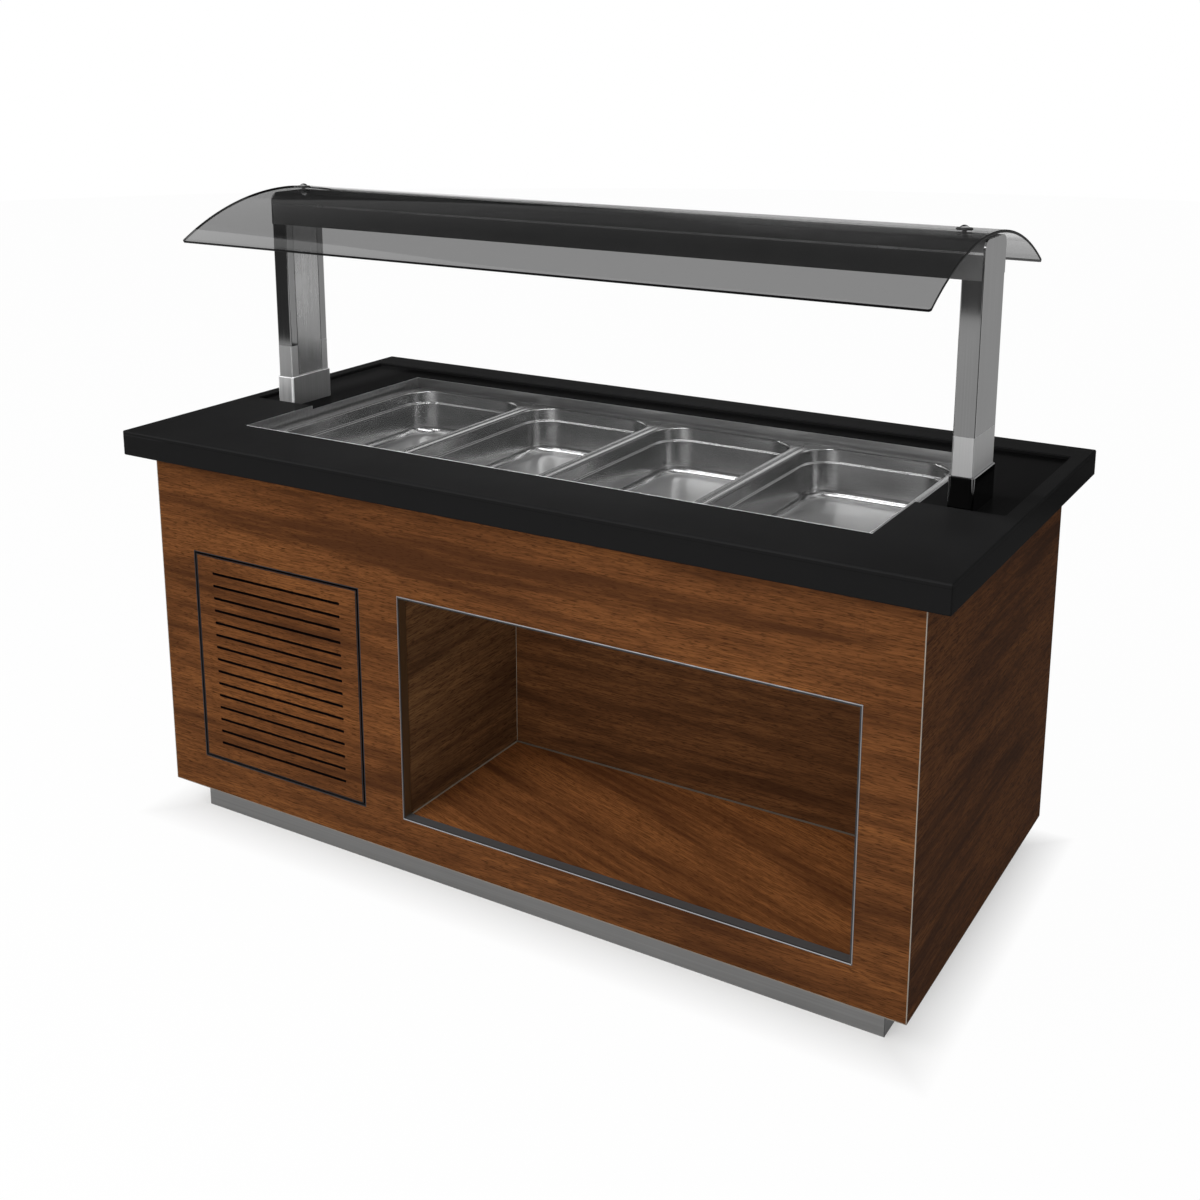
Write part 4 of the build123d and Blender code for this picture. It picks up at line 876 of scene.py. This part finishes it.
class COUNTER_OT_canopy(Step, bpy.types.Operator):
    """Smoked sheet bent to an arch, with darker edges"""

    bl_idname = "counter.canopy"
    bl_label = "Canopy"

    def build(self, sizes, colours):
        low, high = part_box("canopy")
        chord = high.y - low.y
        radius = ((chord / 2) ** 2 + sizes.canopy_rise**2) / (2 * sizes.canopy_rise)
        half_turn = asin(chord / 2 / radius)
        centre = middle(low, high, x=0, z=high.z - radius)
        canopy = begin("canopy_sheet", empty=False)
        pick("verts", lambda points: points[0].y > 0)
        bpy.ops.mesh.delete(type="VERT")
        bpy.ops.mesh.select_all(action="SELECT")
        bpy.ops.transform.resize(value=(high.x - low.x, 1, 1), center_override=(0, 0, 0))
        front_end = Vector((0, centre.y - chord / 2, centre.z + radius * cos(half_turn)))
        bpy.ops.transform.translate(value=front_end - Vector((0, -0.5, 0)))
        bpy.ops.mesh.spin(steps=72, angle=2 * half_turn, center=centre, axis=(1, 0, 0))
        face_up(canopy)
        for material in canopy_finishes(colours):
            canopy.data.materials.append(material)
        apply_modifier(canopy, "SOLIDIFY", thickness=sizes.canopy_sheet, offset=-1, material_offset_rim=1)
        bpy.ops.object.mode_set(mode="EDIT")

        def corner(points):
            at_end = all(abs(abs(point.x) - high.x) < NEAR for point in points)
            at_side = all(min(point.y - low.y, high.y - point.y) < sizes.canopy_sheet for point in points)
            run = (points[0] - points[1]).length
            return at_end and at_side and abs(run - sizes.canopy_sheet) < 10 * NEAR

        round_edges(corner, sizes.canopy_corner, 5)
        apply_modifier(
            canopy, "BEVEL", width=sizes.canopy_edge, segments=2, limit_method="ANGLE",
            angle_limit=radians(60), material=1,
        )
        smooth(canopy, 40)
        settle(canopy, "counter", "canopy_smoke", stands_for=["canopy"])


class COUNTER_OT_canopy_fixings(Step, bpy.types.Operator):
    """Dome nuts on washers along the canopy's crest, with their studs and rubber pads"""

    bl_idname = "counter.canopy_fixings"
    bl_label = "Canopy fixings"

    def build(self, sizes, colours):
        chrome = metal("nut_chrome", colours.chrome, 0.08, smudge=0.03)
        rubber = coated("pad_rubber", colours.rubber, 0.55, relief=0.1)
        dress(chrome, "canopy_studs")
        dress(rubber, "canopy_pads")
        low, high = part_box("dome_nuts")
        radius, height = (high.y - low.y) / 2, high.z - low.z
        left = middle(low, high, x=low.x + radius, z=low.z)
        apart = Vector((high.x - low.x - 2 * radius, 0, 0))
        rise = height - sizes.dome_skirt
        crown = (radius**2 + rise**2) / (2 * rise)
        start = degrees(asin((crown - rise) / crown))
        nut = turned_piece("dome_nut_left", left, UP, [
            (0, 0), (radius, 0), *arc((0, height - crown), crown, start, 90, 12)
        ])
        smooth(nut)
        low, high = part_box("canopy_washers")
        radius, height, edge = (high.y - low.y) / 2, high.z - low.z, sizes.washer_edge
        washer = turned_piece("canopy_washer_left", Vector((left.x, left.y, low.z)), UP, [
            (0, 0), (radius, 0), *arc((radius - edge, height - edge), edge, 0, 90, 5), (0, height)
        ])
        smooth(washer)
        for piece, twin_name, slot, material, node in (
            (nut, "dome_nut_right", "nut_chrome", chrome, "dome_nuts"),
            (washer, "canopy_washer_right", "pad_rubber", rubber, "canopy_washers"),
        ):
            twin = copy_piece(piece, twin_name, apart)
            settle(piece, "counter", slot, material, stands_for=[node])
            settle(twin, "counter", slot, material)


def knob_back(sizes):
    """Middle of the knob's back face."""
    return middle(*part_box("thermostat_knob"), y=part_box("thermostat")[1].y + sizes.knob_gap)


def dial_ways(turn):
    """Directions along and across a mark, clockwise from the top as the operator sees it."""
    return Vector((-sin(turn), 0, cos(turn))), Vector((-cos(turn), 0, -sin(turn)))


def make_knob(sizes, black, white):
    """Fluted grip on a round skirt, with a pointer that starts at the low end of the dial."""
    centre = knob_back(sizes)
    low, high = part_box("thermostat_knob")
    radius, height = (high.z - low.z) / 2, high.y - centre.y
    ease, crown_ease = sizes.knob_ease, 2 * sizes.knob_ease
    knob = turned_piece("knob_grip", centre, BACK, [
        (0, 0), (radius, 0),
        *arc((radius - ease, sizes.knob_skirt - ease), ease, 0, 90, 4),
        (sizes.knob_waist, sizes.knob_skirt),
        *arc((sizes.knob_crown - crown_ease, height - crown_ease), crown_ease, 0, 90, 5),
        (0, height),
    ], steps=72)

    def in_flute(points):
        # Of each six faces of five degrees round the grip, three are a flute
        spot = sum(points, Vector()) / len(points) - centre
        across = Vector((spot.x, spot.z)).length
        step = int(round(degrees(atan2(spot.z, spot.x)) / 5 - 0.5)) % 6
        on_grip = sizes.knob_skirt < spot.y < height - crown_ease and across > sizes.knob_crown - ease
        return on_grip and step < 3

    pick("faces", in_flute)
    bpy.ops.mesh.inset(thickness=sizes.knob_flute, depth=-sizes.knob_flute)
    smooth(knob, 30)
    settle(knob, "knob", "knob_black", black, stands_for=["thermostat_knob"])
    reach = sizes.knob_crown / 2
    way, across = dial_ways(-sizes.dial_sweep / 2)
    pointer = printed("knob_pointer", [
        (centre + BACK * height + way * reach, across * sizes.tick * 0.4, way * reach,
         BACK * sizes.print_height),
    ])
    settle(pointer, "knob", "light_board", white)


def make_dial(sizes, black):
    """Marks and figures printed round the knob."""
    centre = knob_back(sizes)
    centre.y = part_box("control_plate")[1].y
    turns = [sizes.dial_sweep * (step / 12 - 0.5) for step in range(13)]
    bars = []
    for step, turn in enumerate(turns):
        long = sizes.tick * (1 if step % 2 == 0 else 0.55)
        way, across = dial_ways(turn)
        bars.append((centre + way * (sizes.dial_radius + long / 2), across * sizes.tick * 0.16,
                     way * long, BACK * sizes.print_height))
    settle(printed("dial_marks", bars), "counter", "switch_black", black)
    reach = sizes.dial_radius + sizes.tick + 0.85 * sizes.figure
    figures = []
    for number, turn in enumerate(turns[::2]):
        clear_selection()
        spot = centre + dial_ways(turn)[0] * reach
        bpy.ops.object.text_add(location=spot, rotation=(pi / 2, 0, pi))
        text = bpy.context.active_object.data
        text.body = str(number)
        text.align_x = "CENTER"
        text.align_y = "CENTER"
        text.size = sizes.figure
        text.extrude = sizes.print_height / 2
        text.resolution_u = 3
        bpy.ops.object.convert(target="MESH")
        bpy.ops.object.transform_apply(location=True, rotation=True, scale=True)
        figures.append(bpy.context.active_object)
    activate(*figures)
    bpy.ops.object.join()
    rename(figures[0], "dial_figures")
    figures[0].data.materials.clear()
    settle(figures[0], "counter", "switch_black", black)


def make_screws(sizes, steel):
    """Socket screws in the corners of the plate."""
    low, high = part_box("control_plate")
    inset, radius, height = sizes.screw_inset, sizes.screw_radius, sizes.screw_height
    corners = [
        Vector((x, high.y, z))
        for x in (low.x + inset, high.x - inset)
        for z in (low.z + inset, high.z - inset)
    ]
    ease = 0.6 * height
    screw = turned_piece("plate_screw_1", corners[0], BACK, [
        (0, 0), (radius, 0), *arc((radius - ease, height - ease), ease, 0, 90, 5), (0, height)
    ])
    smooth(screw)
    clear_selection()
    bpy.ops.mesh.primitive_cylinder_add(
        vertices=6, radius=radius / 2, depth=height, rotation=(pi / 2, 0, 0),
        location=corners[0] + BACK * height,
    )
    socket = bpy.context.active_object
    apply_modifier(screw, "BOOLEAN", operation="DIFFERENCE", object=socket, solver="EXACT")
    bpy.data.objects.remove(socket)
    for piece in row(screw, "plate_screw", [corner - corners[0] for corner in corners[1:]]):
        settle(piece, "counter", "catch_steel", steel)


def mark_rocker(sizes, name, white):
    """A ring on the rocker's off half and a bar on its on half."""
    slopes = {}
    for face in frame["nodes"][name + "_switch"].data.polygons:
        if face.normal.y > 0.8:
            slopes.setdefault(round(face.normal.z, 2), []).append(face)
    if len(slopes) < 2:
        raise RuntimeError(f"the rocker of the {name} switch has no two halves")
    halves = []
    for faces in slopes.values():
        area = sum(face.area for face in faces)
        centre = sum((face.center * face.area for face in faces), Vector()) / area
        halves.append((area, centre, faces[0].normal.copy()))
    halves = sorted(halves, key=lambda half: half[0])[-2:]
    top = max(centre.z for area, centre, normal in halves)
    ring, thick = sizes.rocker_ring, sizes.print_height
    inside = 0.7 * ring
    for area, centre, normal in halves:
        if centre.z == top:
            mark = turned_piece(f"{name}_switch_off_mark", centre, normal, [
                (ring, 0), (ring, thick), (inside, thick), (inside, 0), (ring, 0)
            ], steps=32)
        else:
            upright = Vector((0, -normal.z, normal.y))
            mark = printed(f"{name}_switch_on_mark", [
                (centre, Vector((0.35 * ring, 0, 0)), upright * 2 * ring, normal * thick),
            ])
        smooth(mark)
        settle(mark, name + "_rocker", "light_board", white)


class COUNTER_OT_controls(Step, bpy.types.Operator):
    """Control plate at the operators' side: fluted knob with a dial, rockers and a pilot lamp"""

    bl_idname = "counter.controls"
    bl_label = "Controls"

    def build(self, sizes, colours):
        dress(metal("plate_steel", colours.plate, 0.3, (4, 4, 260)), "control_plate")
        dress(coated("switch_black", colours.plastic, 0.3), "switch_frames", "heat_switch", "light_switch")
        lamp = Finish("pilot_amber", colours.lamp, 0.2)
        lens_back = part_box("pilot_lamp")[1].y - sizes.lens_height
        in_lens = lamp.math("GREATER_THAN", lamp.axis("Y"), lens_back)
        lamp.give(Base_Color=lamp.mix(in_lens, colours.plastic, colours.lamp))
        lamp.bump(lamp.noise(700, detail=1), 0.1)
        dress(lamp.material, "pilot_lamp")
        white = coated("mark_white", colours.mark, 0.5)
        black = coated("mark_black", colours.plastic, 0.6)
        make_knob(sizes, coated("knob_black", colours.plastic, 0.4), white)
        make_dial(sizes, black)
        make_screws(sizes, metal("screw_steel", colours.screw, 0.25))
        for name in ("heat", "light"):
            mark_rocker(sizes, name, white)


def make_floor(stage):
    """Floor that fades into the white surroundings and keeps a soft shadow."""
    clear_selection()
    bpy.ops.mesh.primitive_circle_add(
        vertices=96, radius=stage.floor_radius, fill_type="NGON", location=(0, 0, 0)
    )
    floor = bpy.context.active_object
    floor.name = "floor"
    made = Finish("floor", stage.floor, 0.9, Specular_IOR_Level=0.0)
    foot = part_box("plinth")[1]
    away = made.math("MAXIMUM", *[
        made.math("SUBTRACT", made.math("ABSOLUTE", made.axis(letter)), reach)
        for letter, reach in (("X", foot.x), ("Y", foot.y))
    ])
    lift = made.spread(away, 0.0, stage.shadow_reach, stage.lift_near, stage.lift_far)
    made.show("Material Output", made.math("MULTIPLY", made.seen(), lift),
              made.shader.outputs["BSDF"], made.node("Emission", "Emission"))
    floor.data.materials.append(made.material)


def make_world(scene, stage):
    """White for what is seen, mirrored or looked through, and an even fill for the rest."""
    world = bpy.data.worlds.new("studio")
    scene.world = world
    world.use_nodes = True
    made = Nodes(world.node_tree)
    fill = made.tree.nodes["Background"]
    made.feed(fill.inputs["Color"], WHITE)
    made.feed(fill.inputs["Strength"], stage.fill)
    white = made.node("Background", "Background", {"Color": WHITE})
    made.show("World Output", made.seen(), fill.outputs["Background"], white)


def make_lamps(scene, stage):
    """Two large soft lamps before the front, and the light strip and small lamps over the pans."""
    lamps = [
        ("key", stage.key, (2.4, 1.8), Vector((-1.2, -3.2, 3.4)), Vector((0, -0.3, 0.5))),
        ("low", stage.low, (2.2, 1.2), Vector((0.7, -4.3, 1.2)), Vector((0, -0.4, 0.4))),
    ]
    low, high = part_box("light_strip")
    spot = middle(low, high, x=0, z=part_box("diffuser")[0].z - stage.lamp_drop)
    lamps.append(("strip", stage.strip, (high.x - low.x, 3 * (high.y - low.y)), spot, spot - UP))
    for node in pan_nodes:
        spot = middle(*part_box(node), y=spot.y, z=spot.z)
        lamps.append(("lamp_" + node, stage.pans, (stage.pan_lamp, stage.pan_lamp), spot, spot - UP))
    for name, power, size, spot, aim in lamps:
        light = bpy.data.lights.new(name, "AREA")
        light.shape = "RECTANGLE"
        light.size, light.size_y = size
        light.energy = power
        lamp = bpy.data.objects.new(name, light)
        lamp.location = spot
        lamp.rotation_euler = (aim - spot).to_track_quat("-Z", "Y").to_euler()
        scene.collection.objects.link(lamp)


def make_cards():
    """Grey cards that only mirror-like surfaces see, to give the metal and the black top contrast."""
    for name, tones, fade, centre, size, turn in (
        ("card_back", (0.16, 0.03), (2.2, 4.5), (-2.5, 2.6, 7.8), (7.0, 12.4), 0),
        ("card_crest", (0.02, 0.02), (1.3, 1.4), (-0.4, 0.45, 1.35), (3.2, 0.13), 0),
        ("card_right", (0.38, 0.38), (0.3, 0.9), (2.1, 2.6, 0.905), (2.2, 1.39), 0),
        ("card_right_low", (0.33, 0.33), (0.0, 0.1), (2.1, 2.6, 0.083), (2.2, 0.165), 0),
        ("card_corner", (0.10, 0.10), (0.0, 1.0), (3.4, -0.8, 1.5), (4.5, 3.0), pi / 2),
        ("card_left_front", (0.42, 0.04), (0.235, 0.25), (-3.85, -2.8, 1.5), (4.3, 3.0), 0),
        ("card_front", (0.44, 0.06), (0.65, 0.67), (0.85, -2.8, 1.5), (5.1, 3.0), 0),
    ):
        clear_selection()
        bpy.ops.mesh.primitive_plane_add(size=1, location=centre, rotation=(pi / 2, 0, turn))
        card = bpy.context.active_object
        card.name = name
        card.scale = (*size, 1)
        made = Finish(name, (0, 0, 0), 1.0, Specular_IOR_Level=0.0)
        height = made.node("SeparateXYZ", "Z", {"Vector": made.node("NewGeometry", "Position")})
        made.give(Emission_Color=WHITE, Emission_Strength=made.spread(height, *fade, *tones))
        card.data.materials.append(made.material)
        for ray in ("camera", "diffuse", "transmission", "volume_scatter", "shadow"):
            setattr(card, "visible_" + ray, False)


class COUNTER_OT_stage(bpy.types.Operator):
    """Pale floor, white surroundings, soft lamps and the camera"""

    bl_idname = "counter.stage"
    bl_label = "Stage"

    def execute(self, context):
        scene = context.scene
        stage = scene.counter_stage
        scene.view_settings.view_transform = "Standard"
        make_floor(stage)
        make_world(scene, stage)
        make_lamps(scene, stage)
        make_cards()
        lens = bpy.data.cameras.new("camera")
        lens.sensor_width = 36.0
        lens.lens = stage.lens
        lens.shift_x = stage.shift_x
        lens.shift_y = stage.shift_y
        camera = bpy.data.objects.new("camera", lens)
        camera.location = stage.camera
        camera.rotation_euler = (pi / 2 - stage.camera_pitch, 0, stage.camera_yaw)
        scene.collection.objects.link(camera)
        scene.camera = camera
        return {"FINISHED"}


class COUNTER_PT_panel(bpy.types.Panel):
    """Lists the counter's steps and settings"""

    bl_idname = "COUNTER_PT_panel"
    bl_label = "Buffet counter"
    bl_space_type = "VIEW_3D"
    bl_region_type = "UI"
    bl_category = "Counter"

    def draw(self, context):
        for step in STEPS:
            self.layout.operator(step.bl_idname)
        for key in GROUPS:
            group = getattr(context.scene, key)
            for name in group.__annotations__:
                self.layout.prop(group, name, text=name.replace("_", " ").capitalize())


STEPS = (
    COUNTER_OT_woodwork,
    COUNTER_OT_counter_top,
    COUNTER_OT_metalwork,
    COUNTER_OT_well_fittings,
    COUNTER_OT_food_pans,
    COUNTER_OT_canopy,
    COUNTER_OT_canopy_fixings,
    COUNTER_OT_controls,
    COUNTER_OT_stage,
)
GROUPS = {
    "counter_sizes": CounterSizes,
    "counter_colours": CounterColours,
    "counter_stage": CounterStage,
}
CLASSES = (*GROUPS.values(), *STEPS, COUNTER_PT_panel)


def register():
    for item in CLASSES:
        bpy.utils.register_class(item)
    for name, group in GROUPS.items():
        setattr(bpy.types.Scene, name, PointerProperty(type=group))


def unregister():
    for name in GROUPS:
        delattr(bpy.types.Scene, name)
    for item in reversed(CLASSES):
        bpy.utils.unregister_class(item)


def main():
    """Dress the counter and set the stage."""
    register()
    bpy.ops.counter.woodwork()
    bpy.ops.counter.counter_top()
    bpy.ops.counter.metalwork()
    bpy.ops.counter.well_fittings()
    bpy.ops.counter.food_pans()
    bpy.ops.counter.canopy()
    bpy.ops.counter.canopy_fixings()
    bpy.ops.counter.controls()
    bpy.ops.counter.stage()


if __name__ == "__main__":
    main()
